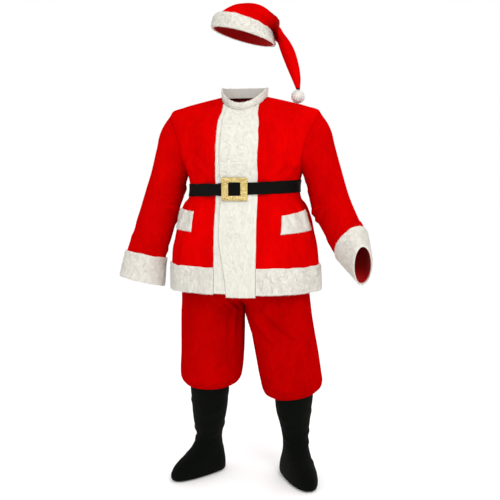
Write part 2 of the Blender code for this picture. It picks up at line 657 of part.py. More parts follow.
def wall_between(back, front, around=False, holes=()):
    """Points and faces of the closed wall between two grids of points.

    Columns run to the right and rows up, seen from the front. around joins the last column to the first,
    and holes lists the (row, column) cells that are left out. Each cell is two triangles, split alike in
    both grids, so that walls made from the same points never cross.
    """
    rows, columns = front.shape[:2]
    count = rows * columns
    points = np.concatenate([front.reshape(-1, 3), back.reshape(-1, 3)])
    last = columns if around else columns - 1
    kept = {(r, c) for r in range(rows - 1) for c in range(last)} - set(holes)
    faces = []

    def at(r, c):
        return r * columns + c % columns

    def is_kept(r, c):
        return (r, c % columns if around else c) in kept

    def close(a, b):
        faces.append((b, a, a + count))
        faces.append((b, a + count, b + count))

    for r, c in sorted(kept):
        low_left, low_right = at(r, c), at(r, c + 1)
        high_left, high_right = at(r + 1, c), at(r + 1, c + 1)
        for face in ((low_left, low_right, high_right), (low_left, high_right, high_left)):
            faces.append(face)
            faces.append(tuple(k + count for k in reversed(face)))
        if not is_kept(r - 1, c):
            close(low_left, low_right)
        if not is_kept(r, c + 1):
            close(low_right, high_right)
        if not is_kept(r + 1, c):
            close(high_right, high_left)
        if not is_kept(r, c - 1):
            close(high_left, low_left)
    used = sorted({k for face in faces for k in face})
    place = {k: i for i, k in enumerate(used)}
    return points[used], [tuple(place[k] for k in face) for face in faces]


def add_patch(name, sheet, u, v, back, front, finish, around=False):
    """One cloth piece: the sheet at u (columns) and v (rows), from back to front along its normal."""
    u, v = np.broadcast_arrays(u, v)
    points, out = sheet(u, v), sheet.normals(u, v)
    low = points + out * np.broadcast_to(back, u.shape)[..., None]
    high = points + out * np.broadcast_to(front, u.shape)[..., None]
    across = points[:-1, 1:] - points[:-1, :-1]
    up = points[1:, :-1] - points[:-1, :-1]
    if np.sum(np.cross(across, up) * out[:-1, :-1]) < 0:
        low, high = low[:, ::-1], high[:, ::-1]
    return add_object(name, *wall_between(low, high, around), finish)


def column(values):
    return np.array(values, float)[:, None]


def between(low, high, count):
    return np.linspace(low, high, count)


# The jacket's rows and columns of points, shared by the panels and by all that lies on them

FLAP_ROW = 1.030
TORSO_LEVELS = np.concatenate(
    [
        [HEM, 0.820, HEM_BAND_TOP, 0.920, 0.975, FLAP_ROW, 1.085],
        [BELT - BELT_REACH, BELT, BELT + BELT_REACH],
        ARMHOLE_MIDDLE - ARMHOLE_REACH * np.cos(between(0, math.pi, ARMHOLE_STEPS + 1)),
        [1.500, 1.570, 1.615, NECK],
    ]
)
FRONT_COLUMNS = 6
BACK_COLUMNS = 14


def side_edge(level):
    """How far from the side the outer edge of a panel is: nothing, but for the armhole."""
    share = np.clip((level - ARMHOLE_MIDDLE) / ARMHOLE_REACH, -1, 1)
    return ARMHOLE_ANGLE * np.sqrt(1 - share**2) + SEAM_GAP / 2 / TORSO.at(level).front_depth


def front_columns(side, level):
    """Angles of the left (1) or right (-1) front panel: its edge, its band's seam, then even steps."""
    edge, seam = (PANEL_EDGE_LEFT, OVER_SEAM) if side > 0 else (-PANEL_EDGE_RIGHT, -UNDER_SEAM)
    edge, seam = angle_at(edge, level), angle_at(seam, level)
    rest = seam + (QUARTER - side_edge(level) - seam) * between(0, 1, FRONT_COLUMNS + 1)
    return np.concatenate([edge, rest], axis=1) * side


def back_columns(level):
    start = QUARTER + side_edge(level)
    return start + (2 * math.pi - 2 * start) * between(0, 1, BACK_COLUMNS + 1)


SIDES = (("left", 1), ("right", -1))


def add_jacket():
    level = column(TORSO_LEVELS)
    for name, side in SIDES:
        angle = front_columns(side, level)
        add_patch(f"jacket_front_{name}", torso, angle, level, -CLOTH, 0, "red_plush")
    add_patch("jacket_back", torso, back_columns(level), level, -CLOTH, 0, "red_plush")


CUFF_ROWS = [CUFF_TOP, 0.630, 0.667]
SLEEVE_ROWS = [0, 0.02, 0.05, 0.09, 0.15, 0.22, 0.28, 0.33, 0.37, 0.41, 0.45, 0.50, 0.55]


def add_sleeves():
    turn = between(0, 2 * math.pi, 2 * ARMHOLE_STEPS + 1)[:-1]
    along = column(SLEEVE_ROWS + CUFF_ROWS + [SLEEVE_END])
    cuff = column(CUFF_ROWS + [CUFF_END])
    for name, _ in SIDES:
        sleeve = SLEEVES[name]
        add_patch(f"sleeve_{name}", sleeve, turn, along, -CLOTH, 0, "red_plush", True)
        add_patch(f"cuff_{name}", sleeve, turn, cuff, SEAM_GAP, LAYER, "white_plush", True)


def add_front_bands():
    level = column([HEM - OVER_DROP, *TORSO_LEVELS[1:]])
    x = np.array([OVER_EDGE, -0.030, 0.010, UNDER_EDGE_CLEAR, PANEL_EDGE_LEFT, OVER_SEAM])
    rest = over_band_rest(x)
    angle = angle_at(x, level)
    add_patch("front_band_left", torso, angle, level, rest, rest + PLUSH, "white_plush")
    level = column(TORSO_LEVELS)
    x = np.array([UNDER_SEAM, PANEL_EDGE_RIGHT, -0.030, 0.010, UNDER_EDGE])
    angle = angle_at(x, level)
    add_patch("front_band_right", torso, angle, level, SEAM_GAP, LAYER, "white_plush")


HEM_BAND_DROP = 0.004


def add_hem_bands():
    level = column(TORSO_LEVELS[TORSO_LEVELS <= HEM_BAND_TOP])
    low = np.concatenate([level[:1] - HEM_BAND_DROP, level[1:]])
    gap = SEAM_GAP / TORSO.at(HEM).front_depth
    for name, side in SIDES:
        angle = front_columns(side, level)[:, 1:]
        angle[:, 0] += gap * side
        add_patch(f"hem_band_{name}", torso, angle, low, SEAM_GAP, LAYER, "white_plush")
    angle = back_columns(level)
    add_patch("hem_band_back", torso, angle, low, SEAM_GAP, LAYER, "white_plush")


Flap = namedtuple("Flap", "column bottom top")
FLAP_INNER = Flap(3, 0.990, 1.057)
FLAP_OUTER = Flap(6, 1.001, 1.075)
FLAP_REST = 0.8 * MM


def add_pocket_flaps():
    """Each flap keeps the panel's columns, and slopes up to the side."""
    share = between(0, 1, FLAP_OUTER.column - FLAP_INNER.column + 1)
    bottom = FLAP_INNER.bottom + (FLAP_OUTER.bottom - FLAP_INNER.bottom) * share
    top = FLAP_INNER.top + (FLAP_OUTER.top - FLAP_INNER.top) * share
    level = np.stack([bottom, 0 * share + FLAP_ROW, top])
    low, high = FLAP_REST, FLAP_REST + PLUSH
    for name, side in SIDES:
        angle = front_columns(side, column([FLAP_ROW]))[:, FLAP_INNER.column : FLAP_OUTER.column + 1]
        add_patch(f"pocket_flap_{name}", torso, angle, level, low, high, "white_plush")


def add_collar():
    start = float(angle_at(OVER_EDGE, NECK))
    angle = between(start + COLLAR_SLIT, start + 2 * math.pi - COLLAR_SLIT, COLLAR_COLUMNS + 1)
    height = column([-COLLAR_FOOT, COLLAR_BEND, COLLAR_HEIGHT])
    add_patch("collar", collar, angle, height, -COLLAR_WALL, 0, "white_plush")


def add_belt():
    angle = between(BELT_START, BELT_START + 2 * math.pi + BELT_OVERLAP, BELT_COLUMNS + 1)
    level = column([BELT - BELT_HALF_HEIGHT, BELT, BELT + BELT_HALF_HEIGHT])
    add_patch("belt", belt, angle, level, 0, BELT_WALL, "black_webbing")


def add_buckle():
    """A plain frame, bent only as the belt's front is."""
    half, hole = BUCKLE_WIDTH / 2, BUCKLE_HOLE_WIDTH / 2
    bar = (half + hole) / 2
    x = BUCKLE_X + np.array([-half, -bar, -hole, 0, hole, bar, half])
    z = BELT + np.array([-BUCKLE_HEIGHT, -BUCKLE_HOLE_HEIGHT, BUCKLE_HOLE_HEIGHT, BUCKLE_HEIGHT]) / 2
    x, z = np.meshgrid(x, z)
    rest = BELT_REST + BANDS_DEPTH + 2 * BELT_WALL + BUCKLE_REST
    back = stack(x, plain_torso(angle_at(x, BELT), BELT)[..., 1] - rest, z)
    front = back - (0, BUCKLE_WALL, 0)
    add_object("buckle", *wall_between(back, front, holes={(1, 2), (1, 3)}), "gold_glitter")


LEG_ROWS = [1.060, 0.970, 0.880, 0.805, 0.765, 0.740, 0.720, 0.690, 0.640, 0.590, 0.545, 0.500, 0.455]
HEM_ROWS = {"left": [0.415, 0.385, 0.357, 0.335, HEM_LEFT], "right": [0.415, 0.388, 0.364, HEM_RIGHT]}


LEG_EDGE = 0.0008
INSEAM_COLUMNS = 3


def add_trousers():
    """Their columns are the jacket's own at the waist, where they lie close behind it."""
    waist = [TROUSER_TOP, BELT, BELT - BELT_REACH]
    waist_columns = front_columns(1, column([BELT]))[0, 1:] / QUARTER
    front_share = np.concatenate([between(0, waist_columns[0], INSEAM_COLUMNS + 1)[:-1], waist_columns])
    back_share = between(0, 1, BACK_COLUMNS // 2 + 1)
    for name, side in SIDES:
        level = column(waist + LEG_ROWS + HEM_ROWS[name])
        for part, front, share in (("front", 1, front_share), ("back", -1, back_share)):
            share = LEG_EDGE + share * (1 - 2 * LEG_EDGE)
            half = trouser_half(*LEGS[name][:2], side, front)
            add_patch(f"trouser_{part}_{name}", half, share, level, -CLOTH, 0, "red_plush")


BOOT_ROWS = [0.03, 0.10, 0.16, 0.22, 0.265, 0.30, 0.335, 0.375, 0.415, 0.45, 0.475, 0.50]

BOOT_COLUMNS = 8
BOOT_SEAM_TURN = 0.002


def add_boot_covers():
    """Each is an outer and an inner side, seamed down the front and the back."""
    for name, _ in SIDES:
        sheet, end = BOOTS[name]
        for part, start in (("outer", 0), ("inner", math.pi)):
            turn = start + between(BOOT_SEAM_TURN, math.pi - BOOT_SEAM_TURN, BOOT_COLUMNS + 1)
            along = column(BOOT_ROWS + [end])
            add_patch(f"boot_cover_{part}_{name}", sheet, turn, along, -CLOTH, 0, "black_felt")


BAND_ROWS = [0.02, 0.04, HAT_BAND_TOP]
HAT_ROWS = [0.09, 0.12, 0.155, 0.19, 0.22, 0.25, 0.285, 0.32, 0.36, 0.40, 0.45, 0.505, HAT_TIP]
HAT_COLUMNS = 9
HAT_BAND_DROP = 0.004
POMPOM_RINGS = 8
POMPOM_SIDES = 14


def add_hat():
    """A front and a back half of the cone, the band round its edge and the pompom at its tip."""
    along = column([0, *BAND_ROWS, *HAT_ROWS])
    gap = SEAM_GAP / 2 / HAT.at(along).half_depth
    for part, start in (("front", 0), ("back", math.pi)):
        turn = start + gap + (math.pi - 2 * gap) * between(0, 1, HAT_COLUMNS + 1)
        add_patch(f"hat_{part}", hat, turn, along, -CLOTH, 0, "red_plush")
    turn = between(0, 2 * math.pi, 2 * HAT_COLUMNS + 1)[:-1]
    along = column([-HAT_BAND_DROP, *BAND_ROWS])
    high = SEAM_GAP + HAT_BAND_PLUSH
    add_patch("hat_band", hat, turn, along, SEAM_GAP, high, "white_plush", True)
    add_pompom()


def add_pompom():
    """A ball sewn to the hat's tip, resting on the jacket's left shoulder."""
    tip = hat(np.array([0.0, math.pi]), HAT_TIP).mean(axis=0)
    centre = tip - (0, 0, POMPOM_RADIUS + 5 * SEAM_GAP)
    rings, sides = POMPOM_RINGS, POMPOM_SIDES
    turn = between(0, 2 * math.pi, sides + 1)[:-1]
    tilt = column(between(-QUARTER, QUARTER, rings + 1)[1:-1])
    ball = stack(np.cos(tilt) * np.cos(turn), np.cos(tilt) * np.sin(turn), np.sin(tilt))
    points = np.concatenate([ball.reshape(-1, 3), [(0, 0, -1), (0, 0, 1)]])
    bottom, top = len(points) - 2, len(points) - 1
    last_ring = (rings - 2) * sides
    faces = []
    for c in range(sides):
        n = (c + 1) % sides
        for r in range(rings - 2):
            low, high = r * sides, (r + 1) * sides
            faces.append((low + c, low + n, high + n, high + c))
        faces.append((n, c, bottom))
        faces.append((last_ring + c, last_ring + n, top))
    add_object("pompom", centre + points * POMPOM_RADIUS, faces, "white_plush")


def main():
    for old in list(bpy.data.objects):
        bpy.data.objects.remove(old, do_unlink=True)
    add_jacket()
    add_sleeves()
    add_front_bands()
    add_hem_bands()
    add_pocket_flaps()
    add_collar()
    add_belt()
    add_buckle()
    add_trousers()
    add_boot_covers()
    add_hat()


main()
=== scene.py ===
"""Looks of a red plush santa suit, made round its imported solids.

The cloth repeats part.py's sheets with more points, creases, drawn-in seams and pile. Metres, +Z up.
"""

import math
from collections import namedtuple

import bpy
import numpy as np
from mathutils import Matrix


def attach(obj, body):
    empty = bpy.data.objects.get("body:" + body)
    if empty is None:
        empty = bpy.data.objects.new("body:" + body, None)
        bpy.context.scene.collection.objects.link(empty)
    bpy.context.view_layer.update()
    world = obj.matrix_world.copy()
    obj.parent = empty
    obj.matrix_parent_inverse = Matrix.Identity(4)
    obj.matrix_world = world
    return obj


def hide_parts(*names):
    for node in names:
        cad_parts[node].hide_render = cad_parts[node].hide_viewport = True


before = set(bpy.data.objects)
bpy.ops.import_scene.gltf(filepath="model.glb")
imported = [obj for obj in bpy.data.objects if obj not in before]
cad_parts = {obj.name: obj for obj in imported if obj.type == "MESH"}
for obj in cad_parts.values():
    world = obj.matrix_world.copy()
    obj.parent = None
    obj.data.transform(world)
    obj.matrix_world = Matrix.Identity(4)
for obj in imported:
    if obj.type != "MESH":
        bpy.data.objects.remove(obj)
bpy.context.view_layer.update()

MM = 0.001
HOLD_HEIGHT = 1.46
SEAM_GAP = 0.3 * MM
CLOTH = 2.0 * MM
PLUSH = 5.0 * MM
LAYER = PLUSH + SEAM_GAP
NORMAL_STEP = 1e-4
QUARTER = math.pi / 2


def ease(low, high, value):
    """0 up to low, 1 from high, and a smooth rise between them."""
    s = np.clip((value - low) / (high - low), 0, 1)
    return s * s * (3 - 2 * s)


def bump(middle, width, value):
    """A smooth bump, 1 high at middle, that fades out over width."""
    return np.exp(-(((value - middle) / width) ** 2))


def stack(x, y, z):
    return np.stack(np.broadcast_arrays(x, y, z), axis=-1).astype(float)


def unit(vectors):
    length = np.linalg.norm(vectors, axis=-1, keepdims=True)
    return vectors / np.maximum(length, 1e-12)


def turned(points, degrees):
    """Points turned about the vertical axis."""
    c, s = math.cos(math.radians(degrees)), math.sin(math.radians(degrees))
    x, y, z = points[..., 0], points[..., 1], points[..., 2]
    return stack(x * c - y * s, x * s + y * c, z)


def ring(turn, squareness):
    """Sine and cosine of a round (2) to squarish (above 2) ring."""
    sin, cos = np.sin(turn), np.cos(turn)
    size = (np.abs(sin) ** squareness + np.abs(cos) ** squareness) ** (-1 / squareness)
    return size * sin, size * cos


def turn_from(turn, middle):
    return (turn - middle + math.pi) % (2 * math.pi) - math.pi


class Sections:
    """A table of cross-sections, one row each, read at any level by a smooth curve through them."""

    def __init__(self, row, rows):
        self.row = row
        rows = np.array(sorted(rows), float)
        self.levels = rows[:, 0]
        self.values = rows[:, 1:]
        self.slopes = np.gradient(self.values, self.levels, axis=0)

    def at(self, level):
        level = np.asarray(level, float)
        i = np.searchsorted(self.levels, level, side="right") - 1
        i = np.clip(i, 0, len(self.levels) - 2)
        step = self.levels[i + 1] - self.levels[i]
        inside = np.clip(level, self.levels[0], self.levels[-1])
        s = ((inside - self.levels[i]) / step)[..., None]
        low_slope, high_slope = self.slopes[i], self.slopes[i + 1]
        value = (
            self.values[i] * (1 + 2 * s) * (1 - s) ** 2
            + self.values[i + 1] * (3 - 2 * s) * s**2
            + low_slope * step[..., None] * s * (1 - s) ** 2
            + high_slope * step[..., None] * (s - 1) * s**2
        )
        beyond = (level - inside)[..., None]
        value = value + np.where(s < 0.5, low_slope, high_slope) * beyond
        return self.row(level, *np.moveaxis(value, -1, 0))


class Sheet:
    """Points of u and v. outward is -1 where u goes to the left, seen from outside with v going up."""

    def __init__(self, points, outward=1):
        self.points = points
        self.outward = outward

    def __call__(self, u, v):
        return self.points(*np.broadcast_arrays(np.asarray(u, float), np.asarray(v, float)))

    def normals(self, u, v):
        along = self(u + NORMAL_STEP, v) - self(u - NORMAL_STEP, v)
        up = self(u, v + NORMAL_STEP) - self(u, v - NORMAL_STEP)
        return unit(np.cross(along, up)) * self.outward

    def moved_out(self, distance):
        """The sheet with its points moved out by distance(u, v)."""
        return Sheet(
            lambda u, v: self(u, v) + self.normals(u, v) * distance(u, v)[..., None],
            self.outward,
        )

    def on_side(self, side):
        """The same sheet for side 1, and its mirror image for side -1."""
        return Sheet(lambda u, v: self(u, v) * (side, 1, 1), self.outward * side)


# Creases: soft ridges (depth above 0) or troughs (below 0) of the cloth, each from one point of its
# sheet to another, bowed sideways at its middle. They are placed one by one, uneven in length and depth.

Crease = namedtuple("Crease", "u0 v0 u1 v1 width depth bow")
CREASE_FADE_IN = (-0.12, 0.25)
CREASE_FADE_OUT = (1.12, 0.55)
CREASE_WIDENS = (0.8, 0.5)
Beside = namedtuple("Beside", "depth place width")
CREASE_TROUGHS = [Beside(0.55, 1.9, 1.0), Beside(0.40, -2.0, 1.2)]

TORSO_RADIUS = 0.25
JACKET_CREASES = [
    (1.16, 1.215, 0.72, 1.185, 0.01, 0.0037, 0.006),
    (1.22, 1.25, 0.8, 1.265, 0.013, 0.0042, -0.008),
    (1.05, 1.305, 0.7, 1.35, 0.016, 0.003, 0.006),
    (0.62, 1.2, 0.78, 1.285, 0.014, 0.0032, 0.005),
    (0.86, 1.11, 0.98, 1.01, 0.014, 0.0045, 0.004),
    (0.58, 1.105, 0.52, 1.02, 0.011, 0.003, -0.003),
    (1.18, 1.112, 1.26, 0.96, 0.015, 0.0045, 0.006),
    (1.42, 1.105, 1.5, 0.985, 0.012, 0.0037, 0.003),
    (0.7, 0.985, 0.74, 0.885, 0.018, 0.0028, 0.004),
    (1.36, 0.93, 1.3, 0.8, 0.02, 0.0037, 0.004),
    (-1.18, 1.222, -0.76, 1.176, 0.011, 0.0042, 0.006),
    (-1.2, 1.262, -0.84, 1.3, 0.013, 0.0035, -0.006),
    (-0.98, 1.33, -0.62, 1.35, 0.017, 0.0028, 0.006),
    (-0.56, 1.196, -0.7, 1.27, 0.013, 0.003, 0.004),
    (-0.92, 1.11, -1.06, 0.985, 0.014, 0.0045, 0.004),
    (-0.62, 1.104, -0.6, 1.035, 0.01, 0.0032, -0.003),
    (-1.25, 1.112, -1.3, 1.015, 0.013, 0.004, 0.003),
    (-1.48, 1.108, -1.44, 0.945, 0.014, 0.0042, 0.004),
    (-0.8, 0.96, -0.78, 0.88, 0.016, 0.0028, 0.003),
    (-1.28, 0.945, -1.34, 0.81, 0.021, 0.0035, 0.004),
    (1.92, 1.216, 2.38, 1.19, 0.012, 0.004, 0.006),
    (1.96, 1.262, 2.4, 1.3, 0.014, 0.0042, -0.008),
    (2.05, 1.34, 2.5, 1.385, 0.018, 0.003, 0.006),
    (2.3, 1.198, 2.18, 1.27, 0.012, 0.0032, 0.004),
    (2.75, 1.2, 2.82, 1.33, 0.017, 0.0037, 0.005),
    (3.08, 1.196, 3.0, 1.285, 0.014, 0.0032, 0.003),
    (1.8, 1.11, 1.74, 0.985, 0.014, 0.0042, 0.004),
    (2.08, 1.108, 2.16, 1.02, 0.012, 0.004, 0.003),
    (2.38, 1.11, 2.4, 0.94, 0.016, 0.0047, 0.006),
    (2.7, 1.106, 2.62, 1.0, 0.013, 0.0037, 0.004),
    (2.98, 1.11, 3.04, 0.915, 0.017, 0.0045, 0.005),
    (-1.9, 1.214, -2.3, 1.176, 0.012, 0.0042, 0.006),
    (-1.98, 1.27, -2.36, 1.322, 0.015, 0.0037, -0.006),
    (-2.1, 1.35, -2.62, 1.38, 0.018, 0.003, 0.006),
    (-2.45, 1.2, -2.36, 1.284, 0.013, 0.0032, 0.004),
    (-2.84, 1.198, -2.7, 1.3, 0.016, 0.0037, 0.005),
    (-1.86, 1.108, -1.78, 0.96, 0.014, 0.0045, 0.004),
    (-2.14, 1.11, -2.24, 1.01, 0.012, 0.0037, 0.003),
    (-2.5, 1.106, -2.44, 0.96, 0.015, 0.0045, 0.006),
    (-2.8, 1.11, -2.9, 1.015, 0.013, 0.004, 0.004),
]
SLEEVE_RADIUS = 0.075
SLEEVE_CREASES = {
    "left": [
        (3.3, 0.03, 2.1, 0.105, 0.01, 0.0021, 0.006),
        (3.05, 0.055, 4.2, 0.13, 0.011, 0.0021, -0.006),
        (3.6, 0.02, 5.0, 0.075, 0.012, 0.0017, 0.005),
        (0.4, 0.12, 1.2, 0.19, 0.016, 0.0014, 0.006),
        (2.9, 0.3, 1.6, 0.345, 0.01, 0.0022, 0.008),
        (2.8, 0.335, 1.9, 0.405, 0.01, 0.0024, 0.005),
        (3.55, 0.372, 4.9, 0.41, 0.011, 0.0022, -0.006),
        (3.7, 0.33, 5.3, 0.345, 0.012, 0.002, 0.006),
        (1.2, 0.42, 2.5, 0.47, 0.011, 0.0021, 0.005),
        (0.3, 0.47, 1.3, 0.52, 0.013, 0.0019, 0.004),
        (2.6, 0.52, 3.9, 0.56, 0.012, 0.0019, 0.004),
        (4.6, 0.47, 5.6, 0.54, 0.012, 0.0019, -0.004),
    ],
    "right": [
        (3.25, 0.028, 2.2, 0.112, 0.01, 0.0023, 0.006),
        (3.0, 0.06, 4.0, 0.14, 0.012, 0.002, -0.006),
        (3.7, 0.018, 5.1, 0.066, 0.012, 0.0019, 0.005),
        (0.6, 0.15, 1.5, 0.2, 0.017, 0.0014, 0.006),
        (2.85, 0.29, 1.7, 0.33, 0.01, 0.002, 0.008),
        (2.75, 0.345, 1.5, 0.395, 0.011, 0.0023, 0.006),
        (3.5, 0.385, 4.7, 0.44, 0.012, 0.002, -0.006),
        (3.8, 0.32, 5.4, 0.36, 0.012, 0.002, 0.006),
        (2.7, 0.45, 1.3, 0.49, 0.012, 0.002, 0.005),
        (0.2, 0.43, 1.0, 0.54, 0.014, 0.0016, 0.004),
        (2.9, 0.54, 4.1, 0.58, 0.012, 0.0016, 0.004),
        (5.2, 0.46, 4.5, 0.56, 0.013, 0.0017, -0.004),
    ],
}
LEG_REACH = 0.36
LEG_CREASES = {
    ("front", "right"): [
        (0.06, 0.86, 0.125, 0.48, 0.01, 0.0068, 0.003),
        (0.135, 0.85, 0.22, 0.52, 0.01, 0.0066, -0.003),
        (0.215, 0.85, 0.33, 0.56, 0.012, 0.0048, 0.003),
        (0.62, 0.7, 0.56, 0.56, 0.018, 0.0037, 0.006),
        (0.3, 0.5, 0.62, 0.455, 0.012, 0.0041, 0.006),
        (0.8, 0.52, 0.7, 0.43, 0.014, 0.0044, 0.004),
        (0.05, 0.45, 0.35, 0.405, 0.01, 0.0044, 0.004),
        (0.45, 0.398, 0.75, 0.412, 0.008, 0.0041, 0.002),
    ],
    ("front", "left"): [
        (0.18, 0.725, 0.62, 0.52, 0.013, 0.0065, 0.012),
        (0.34, 0.735, 0.8, 0.56, 0.013, 0.0058, 0.01),
        (0.08, 0.7, 0.26, 0.54, 0.012, 0.0048, 0.005),
        (0.62, 0.66, 0.86, 0.48, 0.015, 0.0051, 0.006),
        (0.12, 0.47, 0.4, 0.43, 0.01, 0.0058, 0.006),
        (0.16, 0.43, 0.52, 0.392, 0.01, 0.0054, 0.006),
        (0.5, 0.44, 0.84, 0.415, 0.012, 0.0044, 0.004),
        (0.7, 0.385, 0.9, 0.398, 0.009, 0.0044, 0.003),
    ],
    ("back", "right"): [
        (0.1, 0.76, 0.34, 0.69, 0.013, 0.0061, 0.008),
        (0.14, 0.7, 0.42, 0.6, 0.013, 0.0058, 0.008),
        (0.5, 0.72, 0.62, 0.54, 0.016, 0.0051, 0.006),
        (0.28, 0.56, 0.62, 0.5, 0.013, 0.0058, 0.008),
        (0.24, 0.5, 0.7, 0.475, 0.012, 0.0061, 0.008),
        (0.7, 0.6, 0.86, 0.47, 0.015, 0.0044, 0.004),
        (0.16, 0.43, 0.5, 0.405, 0.01, 0.0048, 0.004),
        (0.58, 0.415, 0.84, 0.4, 0.01, 0.0044, 0.003),
    ],
    ("back", "left"): [
        (0.12, 0.77, 0.32, 0.7, 0.013, 0.0058, 0.008),
        (0.16, 0.705, 0.48, 0.61, 0.014, 0.0058, 0.008),
        (0.56, 0.7, 0.6, 0.56, 0.016, 0.0048, 0.006),
        (0.24, 0.545, 0.6, 0.485, 0.013, 0.0061, 0.008),
        (0.3, 0.49, 0.74, 0.455, 0.012, 0.0058, 0.008),
        (0.78, 0.59, 0.84, 0.45, 0.015, 0.0044, 0.004),
        (0.2, 0.415, 0.52, 0.392, 0.01, 0.0048, 0.004),
        (0.6, 0.4, 0.88, 0.382, 0.01, 0.0044, 0.003),
    ],
}
HAT_RADIUS = 0.09
HAT_CREASES = [
    (0.55, 0.095, 1.5, 0.175, 0.01, -0.004, 0.006),
    (1.0, 0.15, 2.0, 0.12, 0.011, 0.0026, 0.006),
    (1.9, 0.19, 1.1, 0.29, 0.012, 0.0034, 0.006),
    (2.4, 0.25, 1.4, 0.35, 0.011, 0.003, 0.005),
    (0.5, 0.3, 1.6, 0.42, 0.011, 0.0026, 0.005),
    (2.2, 0.4, 0.9, 0.47, 0.009, 0.0024, 0.004),
    (5.6, 0.1, 4.8, 0.19, 0.011, -0.004, 0.006),
    (4.3, 0.15, 5.1, 0.26, 0.013, 0.0034, 0.006),
    (3.9, 0.25, 5.0, 0.33, 0.012, 0.0032, 0.005),
    (5.6, 0.32, 4.6, 0.41, 0.011, 0.0028, 0.005),
    (4.2, 0.41, 5.4, 0.48, 0.009, 0.0024, 0.004),
]
BOOT_RADIUS = 0.07
BOOT_CREASES = [
    (0.3, 0.15, 1.5, 0.185, 0.009, 0.0022, 0.005),
    (-0.35, 0.205, -1.6, 0.18, 0.009, 0.0024, 0.005),
    (0.2, 0.275, 1.7, 0.255, 0.008, 0.003, 0.006),
    (0.25, 0.315, 1.6, 0.3, 0.007, 0.003, 0.004),
    (-0.25, 0.29, -1.75, 0.27, 0.008, 0.0032, 0.006),
    (-0.2, 0.33, -1.45, 0.318, 0.007, 0.0028, 0.004),
    (2.9, 0.25, 1.9, 0.235, 0.009, 0.0026, 0.004),
    (-2.9, 0.24, -2.0, 0.262, 0.009, 0.0026, 0.004),
    (2.8, 0.12, 1.9, 0.08, 0.012, 0.002, 0.004),
    (-2.7, 0.14, -1.8, 0.1, 0.012, 0.002, 0.004),
    (0.6, 0.38, 1.3, 0.43, 0.01, 0.002, 0.003),
    (-0.6, 0.385, -1.2, 0.425, 0.01, 0.002, 0.003),
]


def creased(creases, radius, u, v, wraps=True):
    """How far creases move cloth out at u and v. radius gives u its length in metres."""
    out = np.zeros(np.broadcast(u, v).shape)
    for c in map(Crease._make, creases):
        x = (turn_from(u, c.u0) if wraps else u - c.u0) * radius
        y = v - c.v0
        run, rise = (c.u1 - c.u0) * radius, c.v1 - c.v0
        reach = math.hypot(run, rise)
        along = (x * run + y * rise) / reach**2
        off = (x * rise - y * run) / reach - c.bow * 4 * along * (1 - along)
        fade = ease(*CREASE_FADE_IN, along) * ease(*CREASE_FADE_OUT, along)
        start, widening = CREASE_WIDENS
        away = off / (c.width * (start + widening * np.clip(along, 0, 1)))
        beside = sum(b.depth * bump(b.place, b.width, away) for b in CREASE_TROUGHS)
        out = out + c.depth * fade * (bump(0, 1, away) - beside)
    return out


# Torso: rings round the body at each level. Above SHOULDER_TIP a level is a way inwards over the
# shoulder, and a ring's front and back dip below its sides.

TorsoRow = namedtuple(
    "TorsoRow", "level side_z front_z back_z half_width front_depth back_depth squareness"
)
TORSO = Sections(
    TorsoRow,
    [
        (0.74, 0.74, 0.738, 0.74, 0.29, 0.203, 0.182, 2.25),
        (0.866, 0.866, 0.864, 0.866, 0.285, 0.198, 0.177, 2.25),
        (0.953, 0.953, 0.951, 0.953, 0.277, 0.191, 0.168, 2.25),
        (1.01, 1.01, 1.009, 1.01, 0.261, 0.182, 0.157, 2.25),
        (1.073, 1.073, 1.073, 1.073, 0.238, 0.168, 0.145, 2.25),
        (1.12, 1.12, 1.12, 1.12, 0.218, 0.159, 0.136, 2.25),
        (1.16, 1.16, 1.16, 1.16, 0.213, 0.157, 0.134, 2.25),
        (1.2, 1.2, 1.2, 1.2, 0.219, 0.159, 0.137, 2.3),
        (1.26, 1.26, 1.252, 1.26, 0.24, 0.163, 0.144, 2.35),
        (1.34, 1.34, 1.306, 1.332, 0.266, 0.16, 0.147, 2.38),
        (1.4, 1.4, 1.342, 1.376, 0.281, 0.15, 0.142, 2.34),
        (1.446, 1.446, 1.37, 1.412, 0.288, 0.14, 0.132, 2.28),
        (1.5, 1.466, 1.396, 1.446, 0.24, 0.128, 0.119, 2.2),
        (1.57, 1.485, 1.42, 1.478, 0.168, 0.113, 0.101, 2.1),
        (1.65, 1.503, 1.442, 1.508, 0.088, 0.095, 0.079, 2.0),
    ],
)
HEM = 0.772
HEM_BAND_TOP = 0.866
BELT = 1.156
BELT_HALF_HEIGHT = 0.024
BELT_TILT = 0.009
BELT_REACH = BELT_HALF_HEIGHT + BELT_TILT
ARMPIT = 1.215
SHOULDER_TIP = 1.446
NECK = 1.650
ARMHOLE_MIDDLE = (ARMPIT + SHOULDER_TIP) / 2
ARMHOLE_REACH = (SHOULDER_TIP - ARMPIT) / 2
ARMHOLE_ANGLE = 0.50


def torso_point(angle, level):
    """Angle 0 is the centre front and a quarter turn is the wearer's left side."""
    s = TORSO.at(level)
    sin, cos = ring(angle, s.squareness)
    depth = np.where(cos > 0, s.front_depth, s.back_depth)
    middle_z = np.where(cos > 0, s.front_z, s.back_z)
    height = s.side_z + (middle_z - s.side_z) * np.abs(np.cos(angle)) ** SHOULDER_DIP
    return stack(s.half_width * sin, -depth * cos, height)


